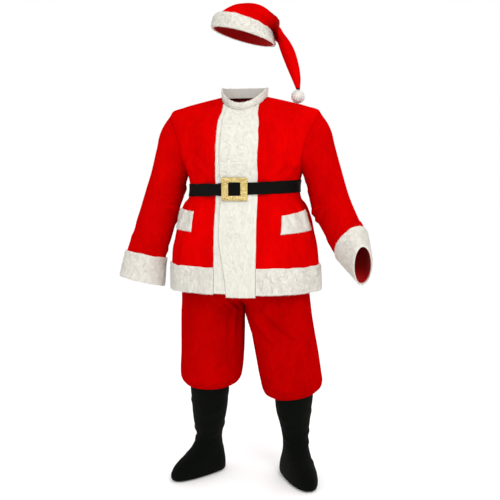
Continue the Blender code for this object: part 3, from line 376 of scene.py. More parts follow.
TorsoFold = namedtuple("TorsoFold", "angle level width height lean depth")
JACKET_FOLDS = [
    (0.95, 1.235, 0.1, 0.055, 1.6, 0.006),
    (1.3, 1.08, 0.11, 0.06, -1.2, 0.006),
    (0.7, 1.07, 0.09, 0.055, -0.8, 0.004),
    (1.75, 1.075, 0.1, 0.075, 0.6, 0.006),
    (2.2, 1.085, 0.1, 0.07, 0.5, 0.007),
    (2.7, 1.08, 0.1, 0.08, 0.2, 0.006),
    (2.45, 1.24, 0.11, 0.06, -0.8, 0.006),
    (2.95, 1.25, 0.1, 0.07, -0.3, 0.005),
]
UNEVEN = 0.02
FOLDS_BESIDE_BELT = (BELT_REACH, 0.060)
FOLDS_BESIDE_BANDS = (0.30, 0.55)
FOLDS_BELOW_SHOULDER = (1.45, 1.42)
WAVES_BELOW_WAIST = (1.02, 0.80)
SHOULDER_DIP = 1.5

Wave = namedtuple("Wave", "count start height")
SKIRT_WAVES = [Wave(5, 0.4, 0.0045), Wave(8, 1.7, 0.0025)]


def torso_fold(angle, level):
    """How far the folds move the jacket's cloth out. They die away under the belt and the front bands."""
    around = np.abs(turn_from(angle, 0))
    side = np.sign(np.sin(angle))
    out = np.zeros(angle.shape)
    for k, f in enumerate(map(TorsoFold._make, JACKET_FOLDS)):
        middle = f.angle + UNEVEN * side * (-1) ** k + f.lean * (level - f.level)
        out = out + f.depth * bump(middle, f.width, around) * bump(f.level, f.height, level)
    for w in SKIRT_WAVES:
        out = out + w.height * np.sin(w.count * angle + w.start) * ease(*WAVES_BELOW_WAIST, level)
    out = out + creased(JACKET_CREASES, TORSO_RADIUS, angle, level)
    beside_belt = ease(*FOLDS_BESIDE_BELT, np.abs(level - BELT))
    beside_bands = ease(*FOLDS_BESIDE_BANDS, around)
    below_shoulder = ease(*FOLDS_BELOW_SHOULDER, level)
    return out * beside_belt * beside_bands * below_shoulder


plain_torso = Sheet(torso_point)
torso = plain_torso.moved_out(torso_fold)

NECK_TAPER = 0.14
ANGLE_STEPS = 8


def angle_at(x, level):
    """The angle where the torso's front is x from its middle line, a little less at the neck."""
    s = TORSO.at(level)
    across = x * (1 - NECK_TAPER * ease(SHOULDER_TIP, NECK, level)) / s.half_width
    angle = np.arcsin(np.clip(across, -1, 1))
    for _ in range(ANGLE_STEPS):
        size = ring(angle, s.squareness)[0] / np.where(angle == 0, 1, np.sin(angle))
        size = np.where(angle == 0, 1, size)
        angle = np.arcsin(np.clip(across / size, -1, 1))
    return angle


def armhole(turn, gap=0):
    """Angle and level of the armhole's edge. Turn 0 is the shoulder tip, a quarter turn its front."""
    angle = QUARTER - (ARMHOLE_ANGLE - gap / TORSO.at(ARMHOLE_MIDDLE).front_depth) * np.sin(turn)
    return angle, ARMHOLE_MIDDLE + (ARMHOLE_REACH - gap) * np.cos(turn)


# Sleeves and hat: sections between an outer and an inner point, each with a half depth. Tilt raises the
# front of a section and lowers its back.

LimbRow = namedtuple(
    "LimbRow", "along outer_x outer_y outer_z inner_x inner_y inner_z half_depth tilt"
)
SLEEVE_TOP = [
    (0.0, 0.29, 0.0, 1.444, 0.232, 0.0, 1.21, 0.078, 0.0),
    (0.05, 0.322, 0.0, 1.402, 0.24, 0.0, 1.175, 0.084, 0.0),
    (0.13, 0.346, 0.002, 1.318, 0.246, 0.002, 1.137, 0.086, 0.0),
]
SLEEVE_LEFT = Sections(
    LimbRow,
    [
        *SLEEVE_TOP,
        (0.24, 0.371, 0.004, 1.228, 0.254, 0.004, 1.106, 0.083, 0.0),
        (0.36, 0.402, 0.0, 1.128, 0.266, -0.004, 1.062, 0.079, 0.004),
        (0.48, 0.442, -0.022, 1.04, 0.305, -0.032, 0.998, 0.076, 0.008),
        (0.6, 0.468, -0.042, 0.998, 0.362, -0.062, 0.906, 0.072, 0.02),
        (0.7, 0.49, -0.088, 0.902, 0.434, -0.108, 0.848, 0.068, 0.04),
    ],
)
SLEEVE_RIGHT = Sections(
    LimbRow,
    [
        *SLEEVE_TOP,
        (0.24, 0.371, 0.004, 1.228, 0.255, 0.004, 1.104, 0.083, 0.0),
        (0.36, 0.406, 0.002, 1.12, 0.266, 0.002, 1.072, 0.077, 0.0),
        (0.48, 0.443, -0.006, 0.999, 0.296, -0.006, 0.963, 0.072, 0.0),
        (0.6, 0.474, -0.018, 0.903, 0.32, -0.018, 0.874, 0.069, 0.0),
        (0.7, 0.497, -0.026, 0.808, 0.327, -0.026, 0.771, 0.066, 0.0),
    ],
)
CUFF_TOP = 0.595
CUFF_END = 0.702
SLEEVE_END = 0.696
ARMHOLE_BLEND = 0.10
ARMHOLE_NORMALS = 0.02
SLEEVE_FOLDS_START = (0.04, 0.12)
SLEEVE_FOLDS_END = (CUFF_TOP, CUFF_TOP - 0.03)
SLEEVE_CREASES_START = (0, 0.03)

LimbFold = namedtuple("LimbFold", "along turn length width lean depth")
SLEEVE_FOLDS = [
    (0.16, 4.05, 0.03, 0.8, 0.05, 0.006),
    (0.27, 1.8, 0.022, 0.9, -0.03, 0.005),
    (0.36, 2.6, 0.016, 1.1, 0.02, 0.008),
    (0.41, 3.4, 0.015, 1.0, -0.02, 0.007),
    (0.47, 1.7, 0.018, 0.9, 0.03, 0.005),
    (0.53, 4.3, 0.018, 1.0, -0.04, 0.006),
    (0.55, 0.9, 0.016, 0.8, 0.04, 0.004),
]


def limb_fold(folds, turn, along):
    out = np.zeros(turn.shape)
    for f in map(LimbFold._make, folds):
        away = turn_from(turn, f.turn)
        across = along - f.lean * away
        out = out + f.depth * bump(f.along, f.length, across) * bump(0, f.width, away)
    return out


def limb_point(sections, turn, along):
    """Turn 0 is a limb's outer line and a quarter turn its front."""

    def middle_and_reach(along):
        s = sections.at(along)
        outer = stack(s.outer_x, s.outer_y, s.outer_z)
        inner = stack(s.inner_x, s.inner_y, s.inner_z)
        return (outer + inner) / 2, (outer - inner) / 2

    s = sections.at(along)
    middle, reach = middle_and_reach(along)
    way = middle_and_reach(along + NORMAL_STEP)[0] - middle_and_reach(along - NORMAL_STEP)[0]
    front = unit(np.cross(way, reach)) * s.half_depth[..., None]
    points = middle + np.cos(turn)[..., None] * reach + np.sin(turn)[..., None] * front
    points[..., 2] += s.tilt * np.sin(turn)
    return points


class Sleeve(Sheet):
    """A sleeve's sheet. It leaves the armhole's edge, whose normals it shares there."""

    def __init__(self, sections, creases, side):
        def fold(turn, along):
            below_armhole = ease(*SLEEVE_FOLDS_START, along)
            above_cuff = ease(*SLEEVE_FOLDS_END, along)
            out = limb_fold(SLEEVE_FOLDS, turn, along) * below_armhole
            out = out + creased(creases, SLEEVE_RADIUS, turn, along) * ease(*SLEEVE_CREASES_START, along)
            return out * above_cuff

        self.side = side
        self.tube = Sheet(lambda turn, along: limb_point(sections, turn, along)).moved_out(fold)
        super().__init__(self.place, side)

    def edge(self, turn, read):
        angle, level = armhole(turn, SEAM_GAP)
        return read(self.side * angle, level) * (self.side, 1, 1)

    def place(self, turn, along):
        edge = self.edge(turn, torso)
        share = ease(0, ARMHOLE_BLEND, along)[..., None]
        lead = np.clip(along / ARMHOLE_BLEND, 0, 1)[..., None] / 2
        start = edge + lead * (self.tube(turn, np.maximum(along, ARMHOLE_BLEND)) - edge)
        points = start * (1 - share) + self.tube(turn, along) * share
        return points * (self.side, 1, 1)

    def normals(self, u, v):
        edge = self.edge(u, torso.normals) * (self.side, 1, 1)
        share = ease(0, ARMHOLE_NORMALS, v)[..., None]
        return unit(edge * (1 - share) + super().normals(u, v) * share)


SLEEVES = {
    "left": Sleeve(SLEEVE_LEFT, SLEEVE_CREASES["left"], 1),
    "right": Sleeve(SLEEVE_RIGHT, SLEEVE_CREASES["right"], -1),
}


# Trousers: each leg is a ring whose inner part is missing where it would cross the body's middle.

LegRow = namedtuple(
    "LegRow",
    "level height centre_x half_width centre_y front_depth back_depth squareness outer_rise",
)
HIPS = [
    (1.19, 1.19, 0.0, 0.2125, 0.0, 0.1555, 0.1325, 2.28, 0.0),
    (1.16, 1.16, 0.0, 0.2103, 0.0, 0.1543, 0.1313, 2.25, 0.0),
    (1.13, 1.13, 0.0, 0.2118, 0.0, 0.154, 0.1315, 2.25, 0.0),
    (1.05, 1.05, 0.0, 0.228, 0.003, 0.15, 0.136, 2.2, 0.0),
    (0.95, 0.95, 0.0, 0.243, 0.006, 0.156, 0.148, 2.2, 0.0),
    (0.85, 0.85, 0.006, 0.244, 0.008, 0.158, 0.153, 2.2, 0.0),
    (0.79, 0.79, 0.042, 0.209, 0.008, 0.155, 0.15, 2.2, 0.0),
    (0.75, 0.75, 0.088, 0.164, 0.008, 0.149, 0.143, 2.2, 0.0),
]
LEG_LEFT = Sections(
    LegRow,
    [
        *HIPS,
        (0.715, 0.715, 0.123, 0.133, 0.008, 0.14, 0.136, 2.15, 0.0),
        (0.67, 0.67, 0.134, 0.1275, 0.009, 0.132, 0.13, 2.1, 0.001),
        (0.6, 0.6, 0.148, 0.124, 0.014, 0.124, 0.122, 2.1, 0.004),
        (0.5, 0.5, 0.166, 0.123, 0.02, 0.116, 0.116, 2.1, 0.01),
        (0.42, 0.414, 0.1795, 0.1205, 0.026, 0.112, 0.112, 2.1, 0.016),
        (0.385, 0.38, 0.186, 0.118, 0.028, 0.11, 0.11, 2.1, 0.018),
        (0.355, 0.355, 0.189, 0.108, 0.03, 0.101, 0.101, 2.0, 0.017),
        (0.33, 0.342, 0.191, 0.09, 0.032, 0.088, 0.088, 2.0, 0.014),
        (0.31, 0.335, 0.191, 0.0796, 0.0325, 0.0796, 0.0796, 2.0, 0.012),
    ],
)
LEG_RIGHT = Sections(
    LegRow,
    [
        *HIPS,
        (0.715, 0.715, 0.12, 0.132, 0.008, 0.14, 0.136, 2.15, 0.0),
        (0.67, 0.67, 0.1285, 0.127, 0.008, 0.132, 0.13, 2.1, 0.0),
        (0.6, 0.6, 0.1305, 0.1265, 0.007, 0.124, 0.122, 2.1, 0.0),
        (0.5, 0.5, 0.132, 0.1255, 0.003, 0.116, 0.116, 2.1, 0.0),
        (0.44, 0.44, 0.1355, 0.124, -0.001, 0.112, 0.112, 2.1, 0.001),
        (0.41, 0.41, 0.1375, 0.12, -0.003, 0.109, 0.109, 2.1, 0.001),
        (0.38, 0.389, 0.14, 0.108, -0.005, 0.1, 0.1, 2.0, 0.001),
        (0.355, 0.377, 0.1425, 0.0915, -0.006, 0.089, 0.089, 2.0, 0.0),
        (0.335, 0.371, 0.143, 0.0792, -0.007, 0.0792, 0.0792, 2.0, 0.0),
    ],
)
TROUSER_TOP = 1.178
HEM_LEFT = 0.312
HEM_RIGHT = 0.337
LEG_FOLDS_ABOVE_HEM = (0.325, 0.385)
LEG_FOLDS_BELOW_HIP = (0.78, 0.66)
LEG_FOLDS_BESIDE_INSEAM = (0, 0.12)
LEG_FOLDS_BESIDE_SIDE = (1, 0.90)

# Shares run from the inseam (0) over the front to the side seam (1), and over the back to -1.
LegFold = namedtuple("LegFold", "share level width height lean depth")
LEG_FOLDS_RIGHT = [
    (0.26, 0.64, 0.06, 0.12, 0.1, -0.008),
    (0.12, 0.62, 0.05, 0.11, 0.05, -0.007),
    (0.42, 0.47, 0.08, 0.07, -0.8, 0.006),
    (0.62, 0.43, 0.12, 0.028, 0.6, 0.006),
    (-0.3, 0.6, 0.08, 0.11, 0.4, -0.007),
    (-0.62, 0.56, 0.08, 0.12, -0.5, 0.006),
    (-0.45, 0.44, 0.15, 0.026, -0.5, 0.006),
]
LEG_FOLDS_LEFT = [
    (0.45, 0.64, 0.06, 0.09, -1.1, -0.006),
    (0.66, 0.6, 0.07, 0.1, -0.9, 0.007),
    (0.24, 0.43, 0.11, 0.022, 0.9, -0.006),
    (0.4, 0.385, 0.12, 0.024, 0.6, 0.006),
    (-0.34, 0.6, 0.08, 0.11, 0.4, -0.007),
    (-0.6, 0.52, 0.08, 0.12, -0.5, 0.006),
    (-0.5, 0.4, 0.15, 0.026, -0.5, 0.006),
]


def trouser_half(sections, folds, creases, side, front):
    """A leg's front (1) or back (-1) sheet. Share 0 is the centre seam or inseam, 1 the side seam."""

    def place(share, level):
        s = sections.at(level)
        start = np.arccos(np.clip((s.centre_x - SEAM_GAP) / s.half_width, -1, 1))
        sin, cos = ring(start + (math.pi - start) * share, s.squareness)
        depth = -s.front_depth if front > 0 else s.back_depth
        x = np.maximum(s.centre_x - s.half_width * cos, SEAM_GAP)
        return stack(x, s.centre_y + depth * sin, s.height - s.outer_rise * cos)

    def fold(share, level):
        out = np.zeros(share.shape)
        for f in map(LegFold._make, folds):
            middle = f.share * front + f.lean * front * (level - f.level)
            out = out + f.depth * bump(middle, f.width, share) * bump(f.level, f.height, level)
        sharp = creased(creases, LEG_REACH, share, level, wraps=False)
        sharp = sharp * ease(*LEG_FOLDS_ABOVE_HEM, level)
        beside_seams = ease(*LEG_FOLDS_BESIDE_INSEAM, share) * ease(*LEG_FOLDS_BESIDE_SIDE, share)
        between_ends = ease(*LEG_FOLDS_ABOVE_HEM, level) * ease(*LEG_FOLDS_BELOW_HIP, level)
        return (out * between_ends + sharp) * beside_seams

    return Sheet(place, front).moved_out(fold).on_side(side)


LEGS = {"left": (LEG_LEFT, LEG_FOLDS_LEFT), "right": (LEG_RIGHT, LEG_FOLDS_RIGHT)}


# Boot covers: level rings about a point that moves from the calf to the ankle, turned out by the foot's
# own angle. The last rows turn in under the sole.

BootRow = namedtuple("BootRow", "along height centre_x centre_y back front half_width squareness")
BOOT_LEFT = Sections(
    BootRow,
    [
        (0.0, 0.44, 0.191, 0.034, 0.0745, 0.0745, 0.0745, 2.0),
        (0.1, 0.34, 0.191, 0.031, 0.0765, 0.0765, 0.0765, 2.0),
        (0.17, 0.27, 0.19, 0.04, 0.072, 0.07, 0.07, 2.0),
        (0.23, 0.21, 0.193, 0.05, 0.063, 0.06, 0.059, 2.0),
        (0.29, 0.15, 0.195, 0.062, 0.058, 0.058, 0.052, 2.0),
        (0.325, 0.118, 0.195, 0.064, 0.062, 0.082, 0.0505, 2.0),
        (0.37, 0.092, 0.195, 0.064, 0.068, 0.125, 0.052, 2.1),
        (0.42, 0.07, 0.195, 0.064, 0.072, 0.17, 0.056, 2.2),
        (0.455, 0.046, 0.195, 0.064, 0.0745, 0.198, 0.061, 2.3),
        (0.48, 0.02, 0.195, 0.064, 0.076, 0.206, 0.063, 2.3),
        (0.5, 0.004, 0.195, 0.064, 0.072, 0.2, 0.059, 2.3),
        (0.52, 0.001, 0.195, 0.064, 0.056, 0.18, 0.045, 2.2),
    ],
)
BOOT_RIGHT = Sections(
    BootRow,
    [
        (0.0, 0.47, 0.143, -0.006, 0.0745, 0.0745, 0.0745, 2.0),
        (0.1, 0.37, 0.143, -0.006, 0.0765, 0.0765, 0.0765, 2.0),
        (0.17, 0.295, 0.1455, 0.003, 0.0735, 0.072, 0.072, 2.0),
        (0.24, 0.21, 0.153, 0.022, 0.065, 0.062, 0.061, 2.0),
        (0.3, 0.145, 0.159, 0.042, 0.056, 0.054, 0.051, 2.0),
        (0.335, 0.115, 0.16, 0.046, 0.06, 0.076, 0.05, 2.0),
        (0.38, 0.09, 0.16, 0.048, 0.066, 0.112, 0.05, 2.1),
        (0.425, 0.068, 0.16, 0.048, 0.069, 0.156, 0.052, 2.2),
        (0.46, 0.044, 0.16, 0.048, 0.071, 0.187, 0.055, 2.3),
        (0.485, 0.02, 0.16, 0.048, 0.072, 0.198, 0.056, 2.3),
        (0.505, 0.004, 0.16, 0.048, 0.069, 0.192, 0.053, 2.3),
        (0.525, 0.001, 0.16, 0.048, 0.053, 0.172, 0.039, 2.2),
    ],
)
TOE_OUT_LEFT = 24.0
TOE_OUT_RIGHT = 33.0
BOOT_CREASES_START = (0.05, 0.09)


def boot(sections, toe_out, side):
    """Turn 0 is the toe, and a quarter turn is the outer side of the foot."""

    def place(turn, along):
        s = sections.at(along)
        sin, cos = ring(turn, s.squareness)
        ahead = np.where(cos > 0, s.front, s.back) * cos
        foot = turned(stack(s.half_width * sin, -ahead, s.height), toe_out)
        return foot + stack(s.centre_x, s.centre_y, 0)

    def fold(turn, along):
        return creased(BOOT_CREASES, BOOT_RADIUS, turn, along) * ease(*BOOT_CREASES_START, along)

    return Sheet(place, -1).moved_out(fold).on_side(side)


BOOT_END_LEFT = 0.52
BOOT_END_RIGHT = 0.525
BOOTS = {
    "left": (boot(BOOT_LEFT, TOE_OUT_LEFT, 1), BOOT_END_LEFT),
    "right": (boot(BOOT_RIGHT, TOE_OUT_RIGHT, -1), BOOT_END_RIGHT),
}


# Hat: sections from the outer line, over the crown, to the inner line, where the cone folds down.

HAT_TURN = 11.0
HAT = Sections(
    LimbRow,
    [
        (0.0, -0.12, 0.0, 1.763, 0.108, 0.0, 1.7, 0.119, 0.004),
        (0.055, -0.108, 0.0, 1.8, 0.097, 0.0, 1.742, 0.113, 0.014),
        (0.095, -0.066, 0.0, 1.829, 0.101, 0.0, 1.752, 0.108, 0.016),
        (0.145, -0.015, 0.0, 1.843, 0.108, 0.0, 1.753, 0.104, 0.01),
        (0.22, 0.055, 0.002, 1.821, 0.116, 0.004, 1.743, 0.094, 0.004),
        (0.29, 0.11, 0.006, 1.779, 0.123, 0.008, 1.72, 0.079, 0.0),
        (0.35, 0.156, 0.008, 1.733, 0.131, 0.012, 1.692, 0.064, 0.0),
        (0.41, 0.188, 0.01, 1.684, 0.144, 0.014, 1.656, 0.05, 0.0),
        (0.465, 0.204, 0.002, 1.632, 0.16, 0.006, 1.615, 0.037, 0.0),
        (0.52, 0.212, -0.008, 1.58, 0.178, -0.004, 1.572, 0.025, 0.0),
        (0.57, 0.21, -0.022, 1.528, 0.196, -0.02, 1.527, 0.011, 0.0),
    ],
)
HAT_BAND_TOP = 0.060
HAT_BAND_PLUSH = 7.0 * MM
HAT_TIP = 0.566
POMPOM_RADIUS = 0.027
HAT_CREASES_START = (HAT_BAND_TOP, HAT_BAND_TOP + 0.03)
HAT_FOLDS = [
    (0.205, 1.1, 0.02, 0.8, 0.03, -0.007),
    (0.27, 2.1, 0.02, 0.7, -0.03, 0.006),
    (0.33, 1.2, 0.022, 0.7, 0.05, 0.005),
    (0.23, 5.1, 0.024, 0.8, -0.04, -0.007),
    (0.31, 4.4, 0.022, 0.7, 0.03, 0.006),
    (0.4, 5.2, 0.03, 0.6, -0.03, 0.004),
]
straight_hat = Sheet(lambda turn, along: limb_point(HAT, turn, along)).moved_out(
    lambda turn, along: limb_fold(HAT_FOLDS, turn, along)
    + creased(HAT_CREASES, HAT_RADIUS, turn, along) * ease(*HAT_CREASES_START, along)
)
hat = Sheet(lambda turn, along: turned(straight_hat(turn, along), HAT_TURN))


# Front bands: how far their edges are from the middle. The left band laps over the right one.

OVER_EDGE = -0.061
OVER_SEAM = 0.078
UNDER_EDGE = 0.044
UNDER_EDGE_CLEAR = UNDER_EDGE + 0.002
UNDER_SEAM = -0.080
PANEL_EDGE_LEFT = 0.060
PANEL_EDGE_RIGHT = -0.062
OVER_DROP = 0.012


def over_band_rest(x):
    """How far the upper band's back lies off the torso: on the panel at its seam, then on the lower band."""
    return SEAM_GAP + (LAYER + SEAM_GAP) * ease(PANEL_EDGE_LEFT, UNDER_EDGE_CLEAR, x)


# Belt and buckle

BELT_WALL = 2.0 * MM
BELT_REST = 1.4 * MM
BELT_START = -0.30
BELT_OVERLAP = 0.42
BELT_LAP = (-0.75, -0.45)
BELT_BRIDGE = (0.150, 0.070)
BUCKLE_X = -0.005
BUCKLE_WIDTH = 0.098
BUCKLE_HEIGHT = 0.085
BUCKLE_HOLE_WIDTH = 0.046
BUCKLE_HOLE_HEIGHT = 0.050
BUCKLE_WALL = 4.0 * MM
BUCKLE_REST = 2.0 * MM
BANDS_DEPTH = 2 * LAYER + SEAM_GAP


def belt_point(angle, level):
    """The belt's back. It bridges the step beside the bands, and its free end laps over its other end."""
    level = level + BELT_TILT * np.sin(angle)
    base = plain_torso(angle, level)
    bridge = BANDS_DEPTH * ease(*BELT_BRIDGE, np.abs(base[..., 0])) * (base[..., 1] < 0)
    lap = (BELT_WALL + SEAM_GAP) * ease(*BELT_LAP, angle - 2 * math.pi)
    rest = BELT_REST + bridge + lap
    return base + plain_torso.normals(angle, level) * rest[..., None]


belt = Sheet(belt_point)

# Collar: an upright band just inside the neck's edge

COLLAR_HEIGHT = 0.034
COLLAR_FOOT = 0.004
COLLAR_WALL = 5.0 * MM
COLLAR_LEAN = 0.10
COLLAR_SLIT = 0.02
COLLAR_INSIDE = 2.4 * MM


def collar_point(angle, height):
    base = plain_torso(angle, NECK)
    out = unit(base * (1, 1, 0))
    lean = COLLAR_LEAN * np.maximum(height, 0) - COLLAR_INSIDE
    return base + out * lean[..., None] + stack(0, 0, height)


collar = Sheet(collar_point)


def column(values):
    return np.array(values, float)[:, None]


def between(low, high, count):
    return np.linspace(low, high, count)


# Flat cuts, as far as they show: width, length and, where the cut isn't a rectangle, its area

Cut = namedtuple("Cut", "width length area held")


# Meshes

GRID = 0.0074
TRIM_GRID = 0.0038
FINE_GRID = TRIM_GRID * 0.8
COARSE_GRID = TRIM_GRID * 1.3
EDGE_STEPS = np.array([0.0, 1.2, 2.6, 4.2, 6.5]) * MM
SEAM_DEPTH = 0.8 * MM
SEAM_WIDTH = 2.6 * MM
FAR = 1.0
LATTICE = 64


def noise(points, size, seed):
    """Smooth noise from -1 to 1 with lumps of the given size."""
    table = np.random.default_rng(seed).uniform(-1, 1, (LATTICE,) * 3)
    place = points / size
    low = np.floor(place).astype(int)
    share = place - low
    share = share * share * (3 - 2 * share)
    out = np.zeros(points.shape[:-1])
    for corner in range(8):
        step = np.array([corner & 1, corner >> 1 & 1, corner >> 2])
        weight = np.prod(np.where(step, share, 1 - share), axis=-1)
        i, j, k = np.moveaxis((low + step) % LATTICE, -1, 0)
        out = out + weight * table[i, j, k]
    return out


def span(low, high, step, length=None, edges=True):
    """Values from low to high, about step apart on a reach of length metres, closer at both edges."""
    length = abs(high - low) if length is None else length
    share = between(0, 1, max(2, round(length / step)) + 1)
    if edges:
        near = EDGE_STEPS[EDGE_STEPS < length / 3] / length
        half = step / length / 2
        inner = share[(share > near[-1] + half) & (share < 1 - near[-1] - half)]
        share = np.concatenate([near, inner, 1 - near[::-1]])
    return low + (high - low) * share


def edge_distance(points, rows=True, columns=True):
    """How far each point of a grid is from the nearest edge: of its first and last rows or columns."""
    far = np.full(points.shape[:2], FAR)
    for axis, asked in enumerate((rows, columns)):
        if asked:
            steps = np.linalg.norm(np.diff(points, axis=axis), axis=-1)
            gone = np.insert(steps.cumsum(axis=axis), 0, 0, axis=axis)
            far = np.minimum(far, np.minimum(gone, gone.take([-1], axis=axis) - gone))
    return far


def seam_dip(distance):
    """Cloth drawn in along a seam."""
    return -SEAM_DEPTH * bump(0, SEAM_WIDTH, distance)


def add_mesh(name, points, faces, finishes, slots=None):
    mesh = bpy.data.meshes.new(name)
    mesh.from_pydata((points - (0, 0, HOLD_HEIGHT)).tolist(), [], faces)
    for finish in finishes:
        mesh.materials.append(MATERIALS[finish])
    if slots is not None:
        mesh.polygons.foreach_set("material_index", slots)
    mesh.update()
    mesh.shade_smooth()
    made = bpy.data.objects.new(name, mesh)
    bpy.context.scene.collection.objects.link(made)
    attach(made, "root")
    return made


def add_wall(name, back, front, around, finishes):
    """A closed wall. The first finish is on its front and rim, and the second on its back."""
    rows, columns = front.shape[:2]
    count = rows * columns
    points = np.concatenate([front.reshape(-1, 3), back.reshape(-1, 3)])
    c = np.arange(columns if around else columns - 1)
    n = (c + 1) % columns
    low = columns * np.arange(rows - 1)[:, None]
    face = np.stack([low + c, low + n, low + columns + n, low + columns + c], axis=-1).reshape(-1, 4)
    top = (rows - 1) * columns
    edges = [(n, c), (top + c, top + n)]
    if not around:
        first = columns * np.arange(rows - 1)
        last = first + columns - 1
        edges += [(first, first + columns), (last + columns, last)]
    rims = np.concatenate([np.stack([a, b, b + count, a + count], axis=-1) for a, b in edges])
    faces = np.concatenate([face, rims, face[:, ::-1] + count])
    slots = np.repeat([0, 1], [len(face) + len(rims), len(face)])
    return add_mesh(name, points, faces.tolist(), finishes, slots)


def facing_out(points, out, *grids):
    """The grids, with columns that run to the right, seen from outside with the rows going up."""
    across = points[:-1, 1:] - points[:-1, :-1]
    up = points[1:, :-1] - points[:-1, :-1]
    if np.sum(np.cross(across, up) * out[:-1, :-1]) > 0:
        return grids
    return [grid[:, ::-1] for grid in grids]


def declare(node):
    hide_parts(node)


def add_cloth(node, points, out, dip, slot, finish, around=False):
    """A thin shell on a grid of points, drawn in by dip."""
    back = points + out * (dip - CLOTH)[..., None]
    front = points + out * dip[..., None]
    back, front = facing_out(points, out, back, front)
    made = add_wall(f"{node}_cloth", back, front, around, [finish, BACKINGS[slot]])
    declare(node)


def add_panel(node, sheet, u, v, slot, finish=None):
    """Cloth with a seam along its first and last columns."""
    u, v = np.broadcast_arrays(u, v)
    points = sheet(u, v)
    dip = seam_dip(edge_distance(points, rows=False))
    add_cloth(node, points, sheet.normals(u, v), dip, slot, finish or slot)


# Plush trims: a soft base with rounded edges, and its pile as small closed tufts

TRIM_BASE = 3.3 * MM
TRIM_ROUND = 5.0 * MM
TRIM_LEAST = 0.5 * MM
TUFT_RADIUS = 0.62 * MM
TUFT_SINK = 1.0 * MM
TUFT_LENGTH = 5.6 * MM
TUFT_LENGTHS = (0.65, 1.2)
TUFTS_PER_METRE2 = 225000
TUFT_LEAN = 0.5
TUFT_UPRIGHT = 0.62
TUFT_COMBED = 0.42
TUFT_SWIRL = 0.45
TUFT_STRAY = 0.22
TUFT_TWIST = 0.2
SWIRL_SIZE = 0.016
SWIRL_SEED = 10
PILE_SEED = 50
DOWN = (0, 0, -1)
Lump = namedtuple("Lump", "size height")
LUMPS = [Lump(0.024, 0.40 * MM), Lump(0.009, 0.22 * MM), Lump(0.0045, 0.14 * MM)]
SEEDS = {
    "front_band_left": 100,
    "front_band_right": 200,
    "hem_band_left": 300,
    "hem_band_right": 400,
    "hem_band_back": 500,
    "pocket_flap_left": 600,
    "pocket_flap_right": 650,
    "collar": 700,
    "cuff_left": 800,
    "cuff_right": 860,
    "hat_band": 900,
    "pompom": 950,
    "pompom_pile": 960,
}


def lumps(points, seed):
    return sum(lump.height * noise(points, lump.size, seed + k) for k, lump in enumerate(LUMPS))


def rounded(distance):
    """The share of a soft wall's height that it has this far from its edge."""
    near = 1 - np.clip(distance / TRIM_ROUND, 0, 1)
    return np.sqrt(1 - near**2)


def add_tufts(
    name, points, out, seed, away, bare=None, length=TUFT_LENGTH, crowd=1.0, comb=DOWN, look="white"
):
    """Pile over a grid of points. away leans it out over the nearest edge, and bare(points) thins it out."""
    draw = np.random.default_rng(seed)
    side = points[:-1, 1:] - points[:-1, :-1]
    rise = points[1:, :-1] - points[:-1, :-1]
    area = np.linalg.norm(np.cross(side, rise), axis=-1).ravel()
    count = int(area.sum() * TUFTS_PER_METRE2 * crowd)
    cell = draw.choice(len(area), size=count, p=area / area.sum())
    r, c = np.divmod(cell, points.shape[1] - 1)
    a, b = draw.uniform(0, 1, (2, count, 1))

    def spread(grid):
        low = grid[r, c] * (1 - a) + grid[r, c + 1] * a
        high = grid[r + 1, c] * (1 - a) + grid[r + 1, c + 1] * a
        return low * (1 - b) + high * b

    root, normal, lean = spread(points), unit(spread(out)), spread(away)
    if bare is not None:
        kept = draw.uniform(0, 1, count) > bare(root)
        root, normal, lean = root[kept], normal[kept], lean[kept]
    count = len(root)
    swirl = np.stack([noise(root, SWIRL_SIZE, seed + SWIRL_SEED + k) for k in range(3)], axis=-1)
    stray = draw.normal(0, TUFT_STRAY, (count, 3))
    lay = np.array(comb, float) * TUFT_COMBED + swirl * TUFT_SWIRL + stray + lean
    lay = lay - normal * np.sum(lay * normal, axis=1, keepdims=True)
    way = unit(normal * TUFT_UPRIGHT + lay)
    tip = root + way * (length * draw.uniform(*TUFT_LENGTHS, (count, 1)))
    first = unit(np.cross(way, normal + draw.normal(0, TUFT_TWIST, (count, 3))))
    second = np.cross(way, first)
    foot = root - normal * TUFT_SINK
    corners = [
        foot + TUFT_RADIUS * (math.cos(turn) * first + math.sin(turn) * second)
        for turn in (0, 2 * math.pi / 3, 4 * math.pi / 3)
    ]
    shape = np.stack([*corners, tip], axis=1).reshape(-1, 3)
    start = 4 * np.arange(count)[:, None]
    faces = np.concatenate([start + f for f in ([0, 2, 1], [0, 1, 3], [1, 2, 3], [2, 0, 3])])
    made = add_mesh(name, shape, faces.tolist(), [f"{look}_pile"])
    return made


def lean_away(points, around):
    """At the edges of a grid, the way out over the edge, fading inwards."""
    lean = np.zeros(points.shape)
    for axis in (0,) if around else (0, 1):
        far = edge_distance(points, rows=axis == 0, columns=axis == 1)
        weight = bump(0, TRIM_ROUND, far)[..., None] * TUFT_LEAN
        way = unit(np.gradient(points, axis=axis))
        place = np.indices(points.shape[:2])[axis][..., None]
        lean = lean + weight * way * np.where(place > points.shape[axis] / 2, 1, -1)
    return lean


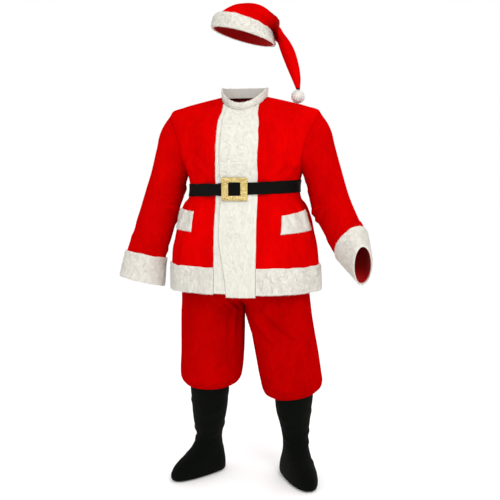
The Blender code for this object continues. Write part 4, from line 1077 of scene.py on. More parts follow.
def add_trim(
    node,
    sheet,
    u,
    v,
    rest,
    rests_on,
    around=False,
    base=TRIM_BASE,
    bare=None,
    crush=1.0,
    look="white",
    sides=True,
    dent=None,
    **pile,
):
    """A trim that lies rest off its sheet. sides says if its first and last columns are rounded too."""
    u, v, rest = np.broadcast_arrays(u, v, rest)
    points, out = sheet(u, v), sheet.normals(u, v)
    seed = SEEDS[node]
    height = base * rounded(edge_distance(points, columns=sides and not around)) + TRIM_LEAST
    back = points + out * rest[..., None]
    flat = 1 - (bare(points) if bare else 0)
    relief = crush * lumps(points, seed) * rounded(edge_distance(points, columns=not around)) * flat
    if dent is not None:
        relief = relief - dent(points)
    front = back + out * (height + relief)[..., None]
    back, front, out = facing_out(points, out, back, front, out)
    made = add_wall(f"{node}_plush", back, front, around, [f"{look}_plush", "white_backing"])
    if around:
        front, out = (np.concatenate([grid, grid[:, :1]], axis=1) for grid in (front, out))
    lean = lean_away(front, around)
    tufts = add_tufts(f"{node}_pile", front, out, seed + PILE_SEED, lean, bare, look=look, **pile)
    declare(node)


# Jacket

SIDES = {"left": 1, "right": -1}
FRONT_WIDTH = 0.32
BACK_WIDTH = 0.72
ARMHOLE_ROWS = 45
SHOULDER_ROWS = 32
JACKET_LEVELS = np.concatenate(
    [
        between(HEM, ARMPIT, round((ARMPIT - HEM) / GRID) + 1)[:-1],
        ARMHOLE_MIDDLE - ARMHOLE_REACH * np.cos(between(0, math.pi, ARMHOLE_ROWS)),
        between(SHOULDER_TIP, NECK, SHOULDER_ROWS)[1:],
    ]
)


def side_edge(level):
    """How far from the side the outer edge of a panel is: nothing, but for the armhole."""
    share = np.clip((level - ARMHOLE_MIDDLE) / ARMHOLE_REACH, -1, 1)
    return ARMHOLE_ANGLE * np.sqrt(1 - share**2) + SEAM_GAP / 2 / TORSO.at(level).front_depth


def front_columns(side, level, start, share):
    """Angles of the left (1) or right (-1) front, from start metres beside the middle to the side."""
    edge = angle_at(start, level)
    return (edge + (QUARTER - side_edge(level) - edge) * share) * side


def back_columns(level, share):
    start = QUARTER + side_edge(level)
    return start + (2 * math.pi - 2 * start) * share


def add_jacket():
    level = column(JACKET_LEVELS)
    share = span(0, 1, GRID, FRONT_WIDTH)
    for name, edge in (("left", PANEL_EDGE_LEFT), ("right", -PANEL_EDGE_RIGHT)):
        angle = front_columns(SIDES[name], level, edge, share)
        add_panel(f"jacket_front_{name}", torso, angle, level, "red_plush")
    angle = back_columns(level, span(0, 1, GRID, BACK_WIDTH))
    add_panel("jacket_back", torso, angle, level, "red_plush")


# Closure: where the front closes inside, the upper band has two short sewn lines at each of two levels

STITCH_LEVELS = {"upper": 1.262, "lower": 0.985}
STITCH_LINES = (-0.5, 0.5)
STITCH_GAP = 0.0085
STITCH_X = 0.001
STITCH_HALF = 0.024
STITCH_FADE = (STITCH_HALF + 0.004, STITCH_HALF - 0.002)
STITCH_LENGTH = 0.0042
STITCH_SHARES = np.array([0, 0.4, 0.8])
STITCH_ARCH = np.array([0.2, 1.1, 0.2]) * MM
STITCH_RADIUS = 0.4 * MM
STITCH_WOBBLE = 0.4 * MM
STITCH_WAVES = 900
DENT_WIDTH = 0.0030
DENT_DEPTH = 0.0016
TUBE_SIDES = 6


def stitch_dent(points):
    """How deep the closure's sewn lines draw the plush in."""
    out = 0
    for level in STITCH_LEVELS.values():
        for line in STITCH_LINES:
            off = (points[..., 2] - level - line * STITCH_GAP) / DENT_WIDTH
            out = out + DENT_DEPTH * np.exp(-(off**2))
    return out * ease(*STITCH_FADE, np.abs(points[..., 0] - STITCH_X))


def tube(spine, radius):
    """Rings round a spine that runs across the front."""
    turn = between(0, 2 * math.pi, TUBE_SIDES + 1)[:-1]
    ring_points = stack(0, np.cos(turn) * radius, np.sin(turn) * radius)
    return (spine[:, None] + ring_points[None]).reshape(-1, 3)


def tube_faces(start, count):
    faces = []
    for low in range(start, start + (count - 1) * TUBE_SIDES, TUBE_SIDES):
        high = low + TUBE_SIDES
        for c in range(TUBE_SIDES):
            n = (c + 1) % TUBE_SIDES
            faces.append((low + c, low + n, high + n, high + c))
    faces.append(tuple(start + c for c in reversed(range(TUBE_SIDES))))
    faces.append(tuple(start + (count - 1) * TUBE_SIDES + c for c in range(TUBE_SIDES)))
    return faces


def add_closure_stitches():
    rings = len(STITCH_SHARES)
    for name, middle in STITCH_LEVELS.items():
        loops, faces = [], []
        for line in STITCH_LINES:
            for k in range(int(2 * STITCH_HALF / STITCH_LENGTH)):
                x = STITCH_X - STITCH_HALF + k * STITCH_LENGTH + STITCH_LENGTH * STITCH_SHARES
                level = middle + line * STITCH_GAP + STITCH_WOBBLE * np.sin(STITCH_WAVES * x)
                angle = angle_at(x, level)
                rest = over_band_rest(x) + TRIM_BASE + TRIM_LEAST - DENT_DEPTH + STITCH_ARCH
                spine = torso(angle, level) + torso.normals(angle, level) * rest[:, None]
                faces.extend(tube_faces(rings * TUBE_SIDES * len(loops), rings))
                loops.append(tube(spine, STITCH_RADIUS))
        made = add_mesh(f"closure_stitch_{name}", np.concatenate(loops), faces, ["white_thread"])


# Front bands, hem bands, flaps and collar. A wave is the size, height and seed of an edge's unevenness.

BAND_PILE = 3.9 * MM
BAND_LOOK = {"crush": 0.45, "length": BAND_PILE, "look": "smooth"}
LAP_DRIFT = 0.030
LAP_DRIFT_LEVELS = (1.00, 0.76)
LAP_FADE = (-0.004, 0.006)
BELT_PRESS = (BELT_REACH + 0.006, BELT_REACH - 0.002)
ABOVE_HEM_BAND = (HEM_BAND_TOP, HEM_BAND_TOP + 0.03)
OVER_LENGTH = 0.78
OVER_SEAM_WAVE = (0.045, 0.0016, 3)
OVER_EDGE_WAVE = (0.07, 0.0012, 4)
UNDER_LENGTH = 0.77
UNDER_SEAM_WAVE = (0.05, 0.0014, 5)
UNDER_WAVE_FADE = -0.04
HEM_BAND_DROP = 0.004
HEM_BAND_WIDTH = FRONT_WIDTH - 0.03
HEM_BAND_BACK = 0.80
HEM_WAVE = (0.03, 0.0022)
HEM_WAVE_RADIUS = 0.3
FLAP_LEVEL = 1.030
FLAP_WIDTH = 0.135
FLAP_HEIGHT = 0.068
FLAP_INNER_SHARE = 2 / 6
FLAP_OUTER_SHARE = 5 / 6
FLAP_BOTTOM_OUTER = 1.001
FLAP_TOP_OUTER = 1.075
FLAP_REST = 0.8 * MM
FLAP_WAVE = (0.02, 0.004)
FLAP_WAVE_STRETCH = 1.5
Flap = namedtuple("Flap", "bottom_inner top_inner reach_bottom reach_top")
FLAPS = {"left": Flap(0.990, 1.057, 0.020, 0.005), "right": Flap(0.996, 1.069, 0.009, -0.003)}
COLLAR_LENGTH = 0.55
COLLAR_TOP = COLLAR_HEIGHT - 0.001


def wavy(values, size, height, seed):
    """An edge's small unevenness, the same for the same values."""
    return height * noise(stack(values, 0, 0), size, seed)


def under_belt(points):
    """1 where the belt presses on a trim, 0 clear of it."""
    return ease(*BELT_PRESS, np.abs(points[..., 2] - BELT))


def lap_edge(level):
    """The upper band's free edge, which swings towards the left side of the wearer below the waist."""
    return OVER_EDGE + LAP_DRIFT * ease(*LAP_DRIFT_LEVELS, level)


def under_over_band(points):
    """1 where the upper band lies on the lower one, or the belt on both."""
    past = points[..., 0] - lap_edge(points[..., 2])
    return np.maximum(ease(*LAP_FADE, past), under_belt(points))


def add_front_bands():
    level = column(span(HEM - OVER_DROP, NECK, TRIM_GRID, OVER_LENGTH))
    share = span(0, 1, TRIM_GRID, OVER_SEAM - OVER_EDGE)
    start = lap_edge(level)
    x = start + (OVER_SEAM - start) * share
    x = x + wavy(level, *OVER_SEAM_WAVE) * ease(0.5, 1.0, share) * ease(*ABOVE_HEM_BAND, level)
    x = x + wavy(level, *OVER_EDGE_WAVE) * ease(0.5, 0, share)
    dressed = {**BAND_LOOK, "bare": under_belt, "dent": stitch_dent}
    rests_on, rest = ["front_band_right"], over_band_rest(x)
    add_trim("front_band_left", torso, angle_at(x, level), level, rest, rests_on, **dressed)
    level = column(span(HEM, NECK, COARSE_GRID, UNDER_LENGTH))
    width = UNDER_EDGE - UNDER_SEAM
    x = UNDER_SEAM + width * span(0, 1, COARSE_GRID, width)
    wave = wavy(level, *UNDER_SEAM_WAVE) * ease(UNDER_WAVE_FADE, UNDER_SEAM, x)
    x = x + wave * ease(*ABOVE_HEM_BAND, level)
    dressed = {**BAND_LOOK, "bare": under_over_band}
    rests_on = ["jacket_front_right"]
    add_trim("front_band_right", torso, angle_at(x, level), level, SEAM_GAP, rests_on, **dressed)


def add_hem_bands():
    low = HEM - HEM_BAND_DROP
    level = column(span(low, HEM_BAND_TOP, TRIM_GRID))
    gap = SEAM_GAP / TORSO.at(HEM).front_depth
    share = span(0, 1, TRIM_GRID, HEM_BAND_WIDTH)
    left = front_columns(1, level, OVER_SEAM, share) + gap * 2
    right = front_columns(-1, level, -UNDER_SEAM, share) - gap * 2
    back = back_columns(level, span(0, 1, TRIM_GRID, HEM_BAND_BACK))
    for name, panel, angle in (
        ("left", "jacket_front_left", left),
        ("right", "jacket_front_right", right),
        ("back", "jacket_back", back),
    ):
        node = f"hem_band_{name}"
        wave = wavy(angle * HEM_WAVE_RADIUS, *HEM_WAVE, SEEDS[node])
        rows = level + wave * ((level - low) / (HEM_BAND_TOP - low))
        add_trim(node, torso, angle, rows, SEAM_GAP, [panel], sides=False)


def add_pocket_flaps():
    """Each flap slopes up to the side."""
    seam = QUARTER - side_edge(FLAP_LEVEL)
    share = span(0, 1, FINE_GRID, FLAP_WIDTH)
    rise = column(span(0, 1, FINE_GRID, FLAP_HEIGHT))
    for name, side in SIDES.items():
        node, flap = f"pocket_flap_{name}", FLAPS[name]
        start = float(angle_at(OVER_SEAM if side > 0 else -UNDER_SEAM, FLAP_LEVEL))
        inner = start + (seam - start) * FLAP_INNER_SHARE
        outer = start + (seam - start) * FLAP_OUTER_SHARE
        reach = flap.reach_bottom + (flap.reach_top - flap.reach_bottom) * rise
        inner = inner - (outer - inner) * reach / FLAP_WIDTH
        bottom = flap.bottom_inner + (FLAP_BOTTOM_OUTER - flap.bottom_inner) * share
        top = flap.top_inner + (FLAP_TOP_OUTER - flap.top_inner) * share
        level = bottom + (top - bottom) * rise
        wave = wavy(level * FLAP_WAVE_STRETCH, *FLAP_WAVE, SEEDS[node])
        angle = (inner + (outer - inner) * share) * side + wave
        add_trim(node, torso, angle, level, FLAP_REST, [f"jacket_front_{name}"])


def add_collar():
    start = float(angle_at(OVER_EDGE, NECK))
    angle = span(start + COLLAR_SLIT, start + 2 * math.pi - COLLAR_SLIT, TRIM_GRID, COLLAR_LENGTH)
    height = column(span(-COLLAR_FOOT, COLLAR_TOP, FINE_GRID))
    add_trim("collar", collar, angle, height, -COLLAR_WALL, ["jacket_back"], comb=(0, 0, 1))


# Sleeves

SLEEVE_COLUMNS = 88
SLEEVE_ROWS = 104
SLEEVE_SEAM_RADIUS = 0.07
CUFF_COLUMNS = 109
CUFF_WAVE = (0.03, 0.0022)
CUFF_WAVE_SEEDS = {"left": 31, "right": 32}
ROUND_WAVE_RADIUS = 0.1


def add_sleeves():
    turn = between(0, 2 * math.pi, SLEEVE_COLUMNS + 1)[:-1]
    rows = between(EDGE_STEPS[-1] + GRID * 0.6, SLEEVE_END, SLEEVE_ROWS)
    u, v = np.broadcast_arrays(turn, column(np.concatenate([EDGE_STEPS, rows])))
    dip = seam_dip(v) + seam_dip(np.abs(turn_from(u, math.pi)) * SLEEVE_SEAM_RADIUS)
    around = between(0, 2 * math.pi, CUFF_COLUMNS + 1)[:-1]
    end = column(span(CUFF_TOP, CUFF_END, TRIM_GRID))
    share = (end - CUFF_TOP) / (CUFF_END - CUFF_TOP)
    for name, sleeve in SLEEVES.items():
        node, points, out = f"sleeve_{name}", sleeve(u, v), sleeve.normals(u, v)
        # The sleeves take a darker red, partly painted shade.
        add_cloth(node, points, out, dip, "red_plush", "red_sleeve_nap_and_shade", around=True)
        wave = wavy(np.cos(around) * ROUND_WAVE_RADIUS, *CUFF_WAVE, CUFF_WAVE_SEEDS[name])
        add_trim(f"cuff_{name}", sleeve, around, end + wave * (1 - share), SEAM_GAP, [node], around=True)


# Belt and buckle

BELT_GRID = 0.009
BELT_LENGTH = 1.45
BELT_ROW = 0.005
BELT_ROUND = 1.2 * MM
BELT_EDGE = 0.45
BELT_WAVE = (0.035, 0.0012, 9)
BELT_WAVE_RADIUS = 0.23
BUCKLE_PROFILE = [
    (0, 0), (1, 0), (1, 0.55), (0.93, 0.86), (0.80, 1.0), (0.20, 1.0), (0.07, 0.86), (0, 0.55)
]
BUCKLE_CORNER = 0.004
BUCKLE_HOLE_CORNER = 0.0015
CORNER_STEPS = 4
BUCKLE_STEPS = 6
BUCKLE_SHARP = math.radians(40)


def add_belt():
    angle = span(BELT_START, BELT_START + 2 * math.pi + BELT_OVERLAP, BELT_GRID, BELT_LENGTH)
    level = column(span(BELT - BELT_HALF_HEIGHT, BELT + BELT_HALF_HEIGHT, BELT_ROW))
    angle, level = np.broadcast_arrays(angle, level)
    share = (level - BELT) / BELT_HALF_HEIGHT
    points, out = belt(angle, level), belt.normals(angle, level)
    points = points + stack(0, 0, wavy(angle * BELT_WAVE_RADIUS, *BELT_WAVE) * share)
    near = 1 - np.clip((1 - np.abs(share)) * BELT_HALF_HEIGHT / BELT_ROUND, 0, 1)
    thick = BELT_WALL * (BELT_EDGE + (1 - BELT_EDGE) * np.sqrt(1 - near**2))
    back, front = facing_out(points, out, points, points + out * thick[..., None])
    made = add_wall("belt_webbing", back, front, False, ["black_webbing", "black_webbing"])
    declare("belt")


def corner_ring(half_width, half_height, radius):
    """A rectangle with rounded corners, with as many points for any size."""
    points = []
    for k, (sx, sz) in enumerate(((1, 1), (-1, 1), (-1, -1), (1, -1))):
        for step in range(CORNER_STEPS + 1):
            turn = QUARTER * (k + step / CORNER_STEPS)
            x = sx * (half_width - radius) + radius * math.cos(turn)
            z = sz * (half_height - radius) + radius * math.sin(turn)
            points.append((x, z))
    return np.array(points)


def filled(points, count):
    """More points on each straight or curved step of a closed ring."""
    step = (np.roll(points, -1, axis=0) - points)[:, None] * (np.arange(count) / count)[None, :, None]
    return (points[:, None] + step).reshape(-1, 2)


def add_buckle():
    outer = filled(corner_ring(BUCKLE_WIDTH / 2, BUCKLE_HEIGHT / 2, BUCKLE_CORNER), BUCKLE_STEPS)
    hole = corner_ring(BUCKLE_HOLE_WIDTH / 2, BUCKLE_HOLE_HEIGHT / 2, BUCKLE_HOLE_CORNER)
    inner = filled(hole, BUCKLE_STEPS)
    rest = BELT_REST + BANDS_DEPTH + 2 * BELT_WALL + BUCKLE_REST
    loops = []
    for way, height in BUCKLE_PROFILE:
        loop = inner + (outer - inner) * way
        x = BUCKLE_X + loop[:, 0]
        y = plain_torso(angle_at(x, BELT), BELT)[..., 1] - rest - BUCKLE_WALL * height
        loops.append(stack(x, y, BELT + loop[:, 1]))
    grid = np.array(loops)
    rows, columns = grid.shape[:2]
    r, c = np.meshgrid(np.arange(rows), np.arange(columns), indexing="ij")
    low, high, n = r * columns, (r + 1) % rows * columns, (c + 1) % columns
    faces = np.stack([low + c, low + n, high + n, high + c], axis=-1).reshape(-1, 4)
    made = add_mesh("buckle_frame", grid.reshape(-1, 3), faces.tolist(), ["gold_glitter"])
    made.data.set_sharp_from_angle(angle=BUCKLE_SHARP)
    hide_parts("buckle")


# Trousers and boot covers

LEG_EDGE = 0.0008
LEG_WIDTH = 0.40
LEG_HEMS = {"left": HEM_LEFT, "right": HEM_RIGHT}
BOOT_TOP = 0.03
BOOT_SEAM_TURN = 0.002
BOOT_WIDTH = 0.25


def add_trousers():
    share = LEG_EDGE + span(0, 1, GRID, LEG_WIDTH) * (1 - 2 * LEG_EDGE)
    for name, side in SIDES.items():
        hem = LEG_HEMS[name]
        level = column(between(TROUSER_TOP, hem, round((TROUSER_TOP - hem) / GRID) + 1))
        for part, front in (("front", 1), ("back", -1)):
            half = trouser_half(*LEGS[name], LEG_CREASES[part, name], side, front)
            node = f"trouser_{part}_{name}"
            add_panel(node, half, share, level, "red_plush", "red_plush_trousers")


def add_boot_covers():
    """Each is an outer and an inner side, seamed down the front and the back."""
    for name, (sheet, end) in BOOTS.items():
        along = column(span(BOOT_TOP, end, GRID))
        for part, start in (("outer", 0), ("inner", math.pi)):
            turn = start + span(BOOT_SEAM_TURN, math.pi - BOOT_SEAM_TURN, GRID, BOOT_WIDTH)
            node = f"boot_cover_{part}_{name}"
            add_panel(node, sheet, turn, along, "black_felt")


# Hat

HAT_WIDTH = 0.34
HAT_BAND_COLUMNS = 189
HAT_BAND_DROP = 0.004
HAT_BAND_BASE = HAT_BAND_PLUSH - 1.6 * MM
HAT_BAND_WAVE = (0.025, 0.0018, 61)
POMPOM_CORE = 0.0225
POMPOM_COLUMNS = 48
POMPOM_ROWS = 25
POMPOM_BELOW_TIP = POMPOM_RADIUS + 5 * SEAM_GAP
POMPOM_LEAN = 0.9
# The pompom's look takes lighter whites, which are painted light.
POMPOM_LOOK = {"length": 5.4 * MM, "crowd": 2.2, "comb": (0, 0, -0.3), "look": "pompom_painted_light"}


def add_hat():
    along = column(span(0, HAT_TIP, GRID, edges=False))
    gap = SEAM_GAP / 2 / HAT.at(along).half_depth
    for part, start in (("front", 0), ("back", math.pi)):
        turn = start + gap + (math.pi - 2 * gap) * span(0, 1, GRID, HAT_WIDTH)
        add_panel(f"hat_{part}", hat, turn, along, "red_plush")
    turn = between(0, 2 * math.pi, HAT_BAND_COLUMNS + 1)[:-1]
    along = column(span(-HAT_BAND_DROP, HAT_BAND_TOP, TRIM_GRID))
    share = (along + HAT_BAND_DROP) / (HAT_BAND_TOP + HAT_BAND_DROP)
    rows = along + wavy(np.cos(turn) * ROUND_WAVE_RADIUS, *HAT_BAND_WAVE) * share
    add_trim("hat_band", hat, turn, rows, SEAM_GAP, ["hat_front"], around=True, base=HAT_BAND_BASE)


def add_pompom():
    centre = hat(np.array([0.0, math.pi]), HAT_TIP).mean(axis=0) - (0, 0, POMPOM_BELOW_TIP)
    turn = between(0, 2 * math.pi, POMPOM_COLUMNS + 1)
    tilt = column(between(-QUARTER, QUARTER, POMPOM_ROWS))
    ball = stack(np.cos(tilt) * np.cos(turn), np.cos(tilt) * np.sin(turn), np.sin(tilt))
    relief = lumps(centre + ball * POMPOM_CORE, SEEDS["pompom"])
    grid = centre + ball * (POMPOM_CORE + relief[..., None])
    grid[0], grid[-1] = grid[0, 0], grid[-1, 0]
    inner = grid[1:-1, :-1]
    rows, columns = inner.shape[:2]
    points = np.concatenate([inner.reshape(-1, 3), grid[:1, 0], grid[-1:, 0]])
    bottom, top = len(points) - 2, len(points) - 1
    last = (rows - 1) * columns
    faces = []
    for c in range(columns):
        n = (c + 1) % columns
        for low in range(0, last, columns):
            faces.append((low + c, low + n, low + columns + n, low + columns + c))
        faces.append((n, c, bottom))
        faces.append((last + c, last + n, top))
    made = add_mesh("pompom_core", points, faces, ["pompom_painted_light_plush"])
    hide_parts("pompom")
    add_tufts("pompom_pile", grid, ball, SEEDS["pompom_pile"], ball * POMPOM_LEAN, **POMPOM_LOOK)


# Materials: all procedural, in the object's own metres

MATERIALS = {}
FLOOR_GLOW = 0.05
# The sleeves' red is darker than the jacket's, partly for the nap and partly as painted shade on sides
# turned from the light. The trousers' red is darker throughout.
RED_SHADES = {"red_plush": 1.0, "red_sleeve_nap_and_shade": 0.86, "red_plush_trousers": 0.70}
BACKINGS = {**dict.fromkeys(RED_SHADES, "red_backing"), "black_felt": "black_backing"}


def new_material(name):
    """A material with its nodes, its shader and a helper that adds and links a node."""
    made = bpy.data.materials.new(name)
    made.use_nodes = True
    tree = made.node_tree
    MATERIALS[name] = made

    def add(kind, inputs=(), **settings):
        node = tree.nodes.new(f"ShaderNode{kind}")
        for key, value in settings.items():
            setattr(node, key, value)
        for key, value in dict(inputs).items():
            if isinstance(value, bpy.types.NodeSocket):
                tree.links.new(value, node.inputs[key])
            else:
                node.inputs[key].default_value = value
        return node

    shader = tree.nodes["Principled BSDF"]
    place = add("TexCoord").outputs["Object"]
    return add, shader, place, tree


def noise_of(add, place, size, detail=2.0, stretch=(1, 1, 1)):
    """A noise node's value, with lumps of about size metres."""
    moved = add("Mapping", {"Vector": place, "Scale": stretch}).outputs["Vector"]
    inputs = {"Vector": moved, "Scale": 1 / size, "Detail": detail, "Roughness": 0.6}
    return add("TexNoise", inputs).outputs["Fac"]


def ramp_of(add, value, stops):
    node = add("ValToRGB", {"Fac": value})
    points = node.color_ramp.elements
    while len(points) < len(stops):
        points.new(0.5)
    for point, (place, colour) in zip(points, stops):
        point.position = place
        point.color = (*colour, 1)
    return node.outputs["Color"]


def mixed(add, share, first, second, blend="MIX"):
    node = add("Mix", data_type="RGBA", blend_type=blend)
    tree = node.id_data
    for key, value in (("Factor_Float", share), ("A_Color", first), ("B_Color", second)):
        socket = next(s for s in node.inputs if s.identifier == key)
        if isinstance(value, bpy.types.NodeSocket):
            tree.links.new(value, socket)
        else:
            socket.default_value = value
    return next(s for s in node.outputs if s.identifier == "Result_Color")


def ranged(add, value, low, high, out_low, out_high):
    inputs = {"Value": value, "From Min": low, "From Max": high, "To Min": out_low, "To Max": out_high}
    return add("MapRange", inputs).outputs["Result"]


def bumped(add, height, strength, distance, normal=None):
    inputs = {"Height": height, "Strength": strength, "Distance": distance}
    if normal is not None:
        inputs["Normal"] = normal
    return add("Bump", inputs).outputs["Normal"]


def finish_cloth(tree, shader, colour, rough, normal, sheen, sheen_rough, sheen_tint, gloss=0.08):
    tree.links.new(colour, shader.inputs["Base Color"])
    tree.links.new(rough, shader.inputs["Roughness"])
    tree.links.new(normal, shader.inputs["Normal"])
    shader.inputs["Specular IOR Level"].default_value = gloss
    shader.inputs["Sheen Weight"].default_value = sheen
    shader.inputs["Sheen Roughness"].default_value = sheen_rough
    shader.inputs["Sheen Tint"].default_value = (*sheen_tint, 1)


def red_velour(name, shade):
    """Short-napped red velour: brushed patches, vertical strokes of the nap and a fine grain."""
    add, shader, place, tree = new_material(name)
    brushed = noise_of(add, place, 0.090, 3, (1, 1, 0.45))
    strokes = noise_of(add, place, 0.012, 3, (1, 1, 0.35))
    grain = noise_of(add, place, 0.0016, 2)
    reds = ((0.40, 0.0002, 0.0004), (0.56, 0.0003, 0.0005), (0.70, 0.0006, 0.0006))
    deep, mid, bright = (tuple(shade * value for value in red) for red in reds)
    colour = ramp_of(add, brushed, [(0.28, deep), (0.50, mid), (0.74, bright)])
    colour = mixed(add, 0.35, colour, ramp_of(add, strokes, [(0.30, deep), (0.70, bright)]))
    colour = mixed(add, 0.30, colour, ramp_of(add, grain, [(0.35, deep), (0.65, bright)]))
    rough = ranged(add, strokes, 0.3, 0.7, 0.78, 0.95)
    normal = bumped(add, strokes, 0.25, 0.0008, bumped(add, grain, 0.5, 0.0006))
    finish_cloth(tree, shader, colour, rough, normal, 0.06, 0.35, (1.0, 0.02, 0.02), gloss=0.0)


def knit_backing(name, deep, bright):
    """The cloth's knitted back: fine upright ribs."""
    add, shader, place, tree = new_material(name)
    inputs = {"Vector": place, "Scale": 210, "Distortion": 1.5, "Detail": 1}
    ribs = add("TexWave", inputs, bands_direction="DIAGONAL").outputs["Fac"]
    grain = noise_of(add, place, 0.010, 2)
    colour = ramp_of(add, ribs, [(0.25, deep), (0.75, bright)])
    colour = mixed(add, 0.4, colour, ramp_of(add, grain, [(0.3, deep), (0.7, bright)]))
    rough = ranged(add, grain, 0.3, 0.7, 0.82, 0.95)
    normal = bumped(add, ribs, 0.4, 0.0005)
    finish_cloth(tree, shader, colour, rough, normal, 0.08, 0.5, (1, 0.6, 0.6))


def white_plush(name, deep, mid, bright, grain_size, painted_shade_share=0.32):
    """Warm white plush: patches of flattened pile, its tufts' fine relief, and painted shade: faint grey in
    its partings.
    """
    add, shader, place, tree = new_material(name)
    patches = noise_of(add, place, 0.028, 3)
    partings = noise_of(add, place, 0.0075, 4, (1, 1, 0.6))
    grain = noise_of(add, place, grain_size, 2)
    colour = ramp_of(add, patches, [(0.28, mid), (0.60, bright)])
    # Painted shade: grey in the pile's partings, mixed in by the last argument.
    parting_shade = ramp_of(add, partings, [(0.34, deep), (0.52, mid), (0.64, bright)])
    colour = mixed(add, painted_shade_share, colour, parting_shade)
    colour = mixed(add, 0.20, colour, ramp_of(add, grain, [(0.34, deep), (0.60, bright)]))
    rough = ranged(add, partings, 0.3, 0.7, 0.98, 0.86)
    normal = bumped(add, partings, 0.5, 0.0016, bumped(add, grain, 0.55, 0.0009))
    finish_cloth(tree, shader, colour, rough, normal, 0.10, 0.5, (1, 0.98, 0.94))


def black_felt():
    """Matte black felt: matted fibres, and a little grey lint."""
    add, shader, place, tree = new_material("black_felt")
    matted = noise_of(add, place, 0.022, 4)
    fibres = noise_of(add, place, 0.0014, 3, (1, 1, 0.5))
    lint = noise_of(add, place, 0.0035, 5)
    deep, mid, grey = (0.0010, 0.0014, 0.0010), (0.0028, 0.0036, 0.0027), (0.012, 0.0135, 0.012)
    colour = ramp_of(add, matted, [(0.30, deep), (0.70, mid)])
    colour = mixed(add, 0.45, colour, ramp_of(add, fibres, [(0.35, deep), (0.70, mid)]))
    specks = ramp_of(add, lint, [(0.66, (0, 0, 0)), (0.74, (0.5, 0.5, 0.5))])
    colour = mixed(add, specks, colour, (*grey, 1))
    rough = ranged(add, matted, 0.3, 0.7, 0.86, 0.98)
    normal = bumped(add, matted, 0.25, 0.0012, bumped(add, fibres, 0.6, 0.0006))
    finish_cloth(tree, shader, colour, rough, normal, 0.015, 0.5, (0.9, 1.0, 0.9), gloss=0.05)


def black_webbing():
    """A belt of black woven tape: crosswise ribs and a dull shine."""
    add, shader, place, tree = new_material("black_webbing")
    inputs = {"Vector": place, "Scale": 230, "Distortion": 0.4, "Detail": 1}
    ribs = add("TexWave", inputs, bands_direction="Z").outputs["Fac"]
    grain = noise_of(add, place, 0.0012, 2)
    worn = noise_of(add, place, 0.030, 3)
    deep, mid = (0.0012, 0.0014, 0.0011), (0.0036, 0.0040, 0.0033)
    colour = ramp_of(add, worn, [(0.3, deep), (0.7, mid)])
    colour = mixed(add, 0.4, colour, ramp_of(add, ribs, [(0.2, deep), (0.8, mid)]))
    rough = ranged(add, worn, 0.3, 0.7, 0.60, 0.78)
    normal = bumped(add, ribs, 0.35, 0.0005, bumped(add, grain, 0.3, 0.0004))
    finish_cloth(tree, shader, colour, rough, normal, 0.01, 0.5, (0.9, 1, 0.9), gloss=0.05)


def gold_glitter():
    """Gold glitter: small flakes, each with its own tone, gloss and tilt."""
    add, shader, place, tree = new_material("gold_glitter")
    flakes = add("TexVoronoi", {"Vector": place, "Scale": 620})
    pick = add("SeparateColor", {"Color": flakes.outputs["Color"]})
    dark, mid, pale = (0.24, 0.14, 0.025), (0.54, 0.375, 0.09), (0.86, 0.72, 0.34)
    colour = ramp_of(add, pick.outputs["Red"], [(0.05, dark), (0.45, mid), (0.95, pale)])
    worn = noise_of(add, place, 0.012, 2)
    colour = mixed(add, 0.2, colour, ramp_of(add, worn, [(0.3, dark), (0.7, pale)]))
    rough = ranged(add, pick.outputs["Green"], 0, 1, 0.22, 0.55)
    tilt = add("VectorMath", {0: flakes.outputs["Color"], 1: (0.5, 0.5, 0.5)}, operation="SUBTRACT")
    tilt = add("VectorMath", {0: tilt.outputs["Vector"], "Scale": 0.9}, operation="SCALE")
    base = add("NewGeometry").outputs["Normal"]
    normal = add("VectorMath", {0: base, 1: tilt.outputs["Vector"]}, operation="ADD")
    normal = add("VectorMath", {0: normal.outputs["Vector"]}, operation="NORMALIZE").outputs["Vector"]
    normal = bumped(add, flakes.outputs["Distance"], 0.4, 0.0006, normal)
    tree.links.new(colour, shader.inputs["Base Color"])
    tree.links.new(rough, shader.inputs["Roughness"])
    tree.links.new(normal, shader.inputs["Normal"])
    shader.inputs["Metallic"].default_value = 0.7


def make_materials():
    for name, shade in RED_SHADES.items():
        red_velour(name, shade)
    knit_backing("red_backing", (0.20, 0.0008, 0.0012), (0.36, 0.002, 0.003))
    knit_backing("black_backing", (0.004, 0.004, 0.004), (0.012, 0.012, 0.012))
    white_plush("white_plush", (0.56, 0.535, 0.475), (0.74, 0.715, 0.65), (0.83, 0.81, 0.75), 0.0016, 0.45)
    white_plush("white_pile", (0.66, 0.638, 0.575), (0.80, 0.778, 0.715), (0.87, 0.85, 0.795), 0.0022, 0.45)
    # The pompom's whites are lighter than the trims': painted light, lifting it out of the shade it sits in.
    white_plush("pompom_painted_light_plush", (0.72, 0.70, 0.65), (0.84, 0.825, 0.78), (0.90, 0.885, 0.845), 0.0016)
    white_plush("pompom_painted_light_pile", (0.84, 0.82, 0.775), (0.92, 0.905, 0.87), (0.95, 0.94, 0.91), 0.0022)
    white_plush("smooth_plush", (0.62, 0.605, 0.535), (0.73, 0.718, 0.645), (0.78, 0.768, 0.695), 0.0016)
    white_plush("smooth_pile", (0.70, 0.685, 0.615), (0.77, 0.757, 0.683), (0.81, 0.798, 0.725), 0.0022)
    white_plush("white_backing", (0.45, 0.43, 0.39), (0.54, 0.525, 0.48), (0.62, 0.605, 0.56), 0.0012)
    white_plush("white_thread", (0.50, 0.49, 0.45), (0.60, 0.59, 0.55), (0.68, 0.67, 0.63), 0.0008)
    black_felt()
    black_webbing()
    gold_glitter()
    floor()


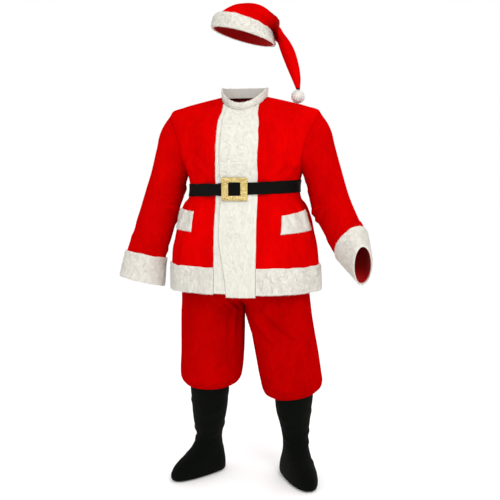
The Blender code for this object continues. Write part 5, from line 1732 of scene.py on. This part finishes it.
def floor():
    add, shader, place, tree = new_material("pale_floor")
    cloudy = noise_of(add, place, 0.6, 3)
    colour = ramp_of(add, cloudy, [(0.3, (0.975, 0.975, 0.975)), (0.7, (0.99, 0.99, 0.99))])
    tree.links.new(colour, shader.inputs["Base Color"])
    shader.inputs["Roughness"].default_value = 0.9
    shader.inputs["Specular IOR Level"].default_value = 0.0
    shader.inputs["Emission Color"].default_value = (1, 1, 1, 1)
    shader.inputs["Emission Strength"].default_value = FLOOR_GLOW


# Camera, floor and light

CAMERA_TURN = math.radians(11)
CAMERA_FALL = math.radians(6)
CAMERA_AWAY = 3.2
CAMERA_HEIGHT = -0.21
CAMERA_RIGHT = 0.0194
CAMERA_LENS = 59.3
SENSOR = 36.0
FLOOR_SIZE = 40.0
WORLD_STRENGTH = 1.0
FLOOR_LEVEL = -HOLD_HEIGHT - 0.002


def add_camera():
    lens = bpy.data.cameras.new("photo_camera")
    lens.lens = CAMERA_LENS
    lens.sensor_width = SENSOR
    camera = bpy.data.objects.new("photo_camera", lens)
    camera.rotation_euler = (QUARTER - CAMERA_FALL, 0, CAMERA_TURN)
    c, s = math.cos(CAMERA_TURN), math.sin(CAMERA_TURN)
    camera.location = (
        CAMERA_AWAY * s + CAMERA_RIGHT * c,
        -CAMERA_AWAY * c + CAMERA_RIGHT * s,
        CAMERA_HEIGHT,
    )
    bpy.context.scene.collection.objects.link(camera)
    bpy.context.scene.camera = camera


Light = namedtuple("Light", "name x y z size power")
LIGHTS = [
    Light("key", 1.9, -2.8, 1.9, 1.6, 58),
    Light("fill", -2.6, -2.6, 0.8, 2.2, 13),
    Light("rim", 0.6, 3.0, 1.8, 2.0, 22),
]
LIGHT_AIM = (0, 0, -0.5)


def add_light(row):
    lamp = bpy.data.lights.new(row.name, "AREA")
    lamp.shape = "DISK"
    lamp.size = row.size
    lamp.energy = row.power
    made = bpy.data.objects.new(row.name, lamp)
    made.location = (row.x, row.y, row.z)
    x, y, z = unit(np.array(LIGHT_AIM) - (row.x, row.y, row.z))
    made.rotation_euler = (math.acos(-z), 0, math.atan2(-x, y))
    bpy.context.scene.collection.objects.link(made)


def add_stage():
    half = FLOOR_SIZE / 2
    points = np.array([(-half, -half, 0), (half, -half, 0), (half, half, 0), (-half, half, 0)])
    mesh = bpy.data.meshes.new("floor")
    mesh.from_pydata((points + (0, 0, FLOOR_LEVEL)).tolist(), [], [(0, 1, 2, 3)])
    mesh.materials.append(MATERIALS["pale_floor"])
    made = bpy.data.objects.new("floor", mesh)
    bpy.context.scene.collection.objects.link(made)
    for row in LIGHTS:
        add_light(row)
    world = bpy.data.worlds.new("studio")
    bpy.context.scene.world = world
    world.use_nodes = True
    sky = world.node_tree.nodes["Background"]
    sky.inputs["Color"].default_value = (1.0, 1.0, 1.0, 1)
    sky.inputs["Strength"].default_value = WORLD_STRENGTH
    bpy.context.scene.view_settings.view_transform = "Standard"


def main():
    make_materials()
    add_camera()
    add_stage()
    add_jacket()
    add_front_bands()
    add_hem_bands()
    add_pocket_flaps()
    add_collar()
    add_sleeves()
    add_belt()
    add_buckle()
    add_trousers()
    add_boot_covers()
    add_hat()
    add_pompom()
    add_closure_stitches()


main()
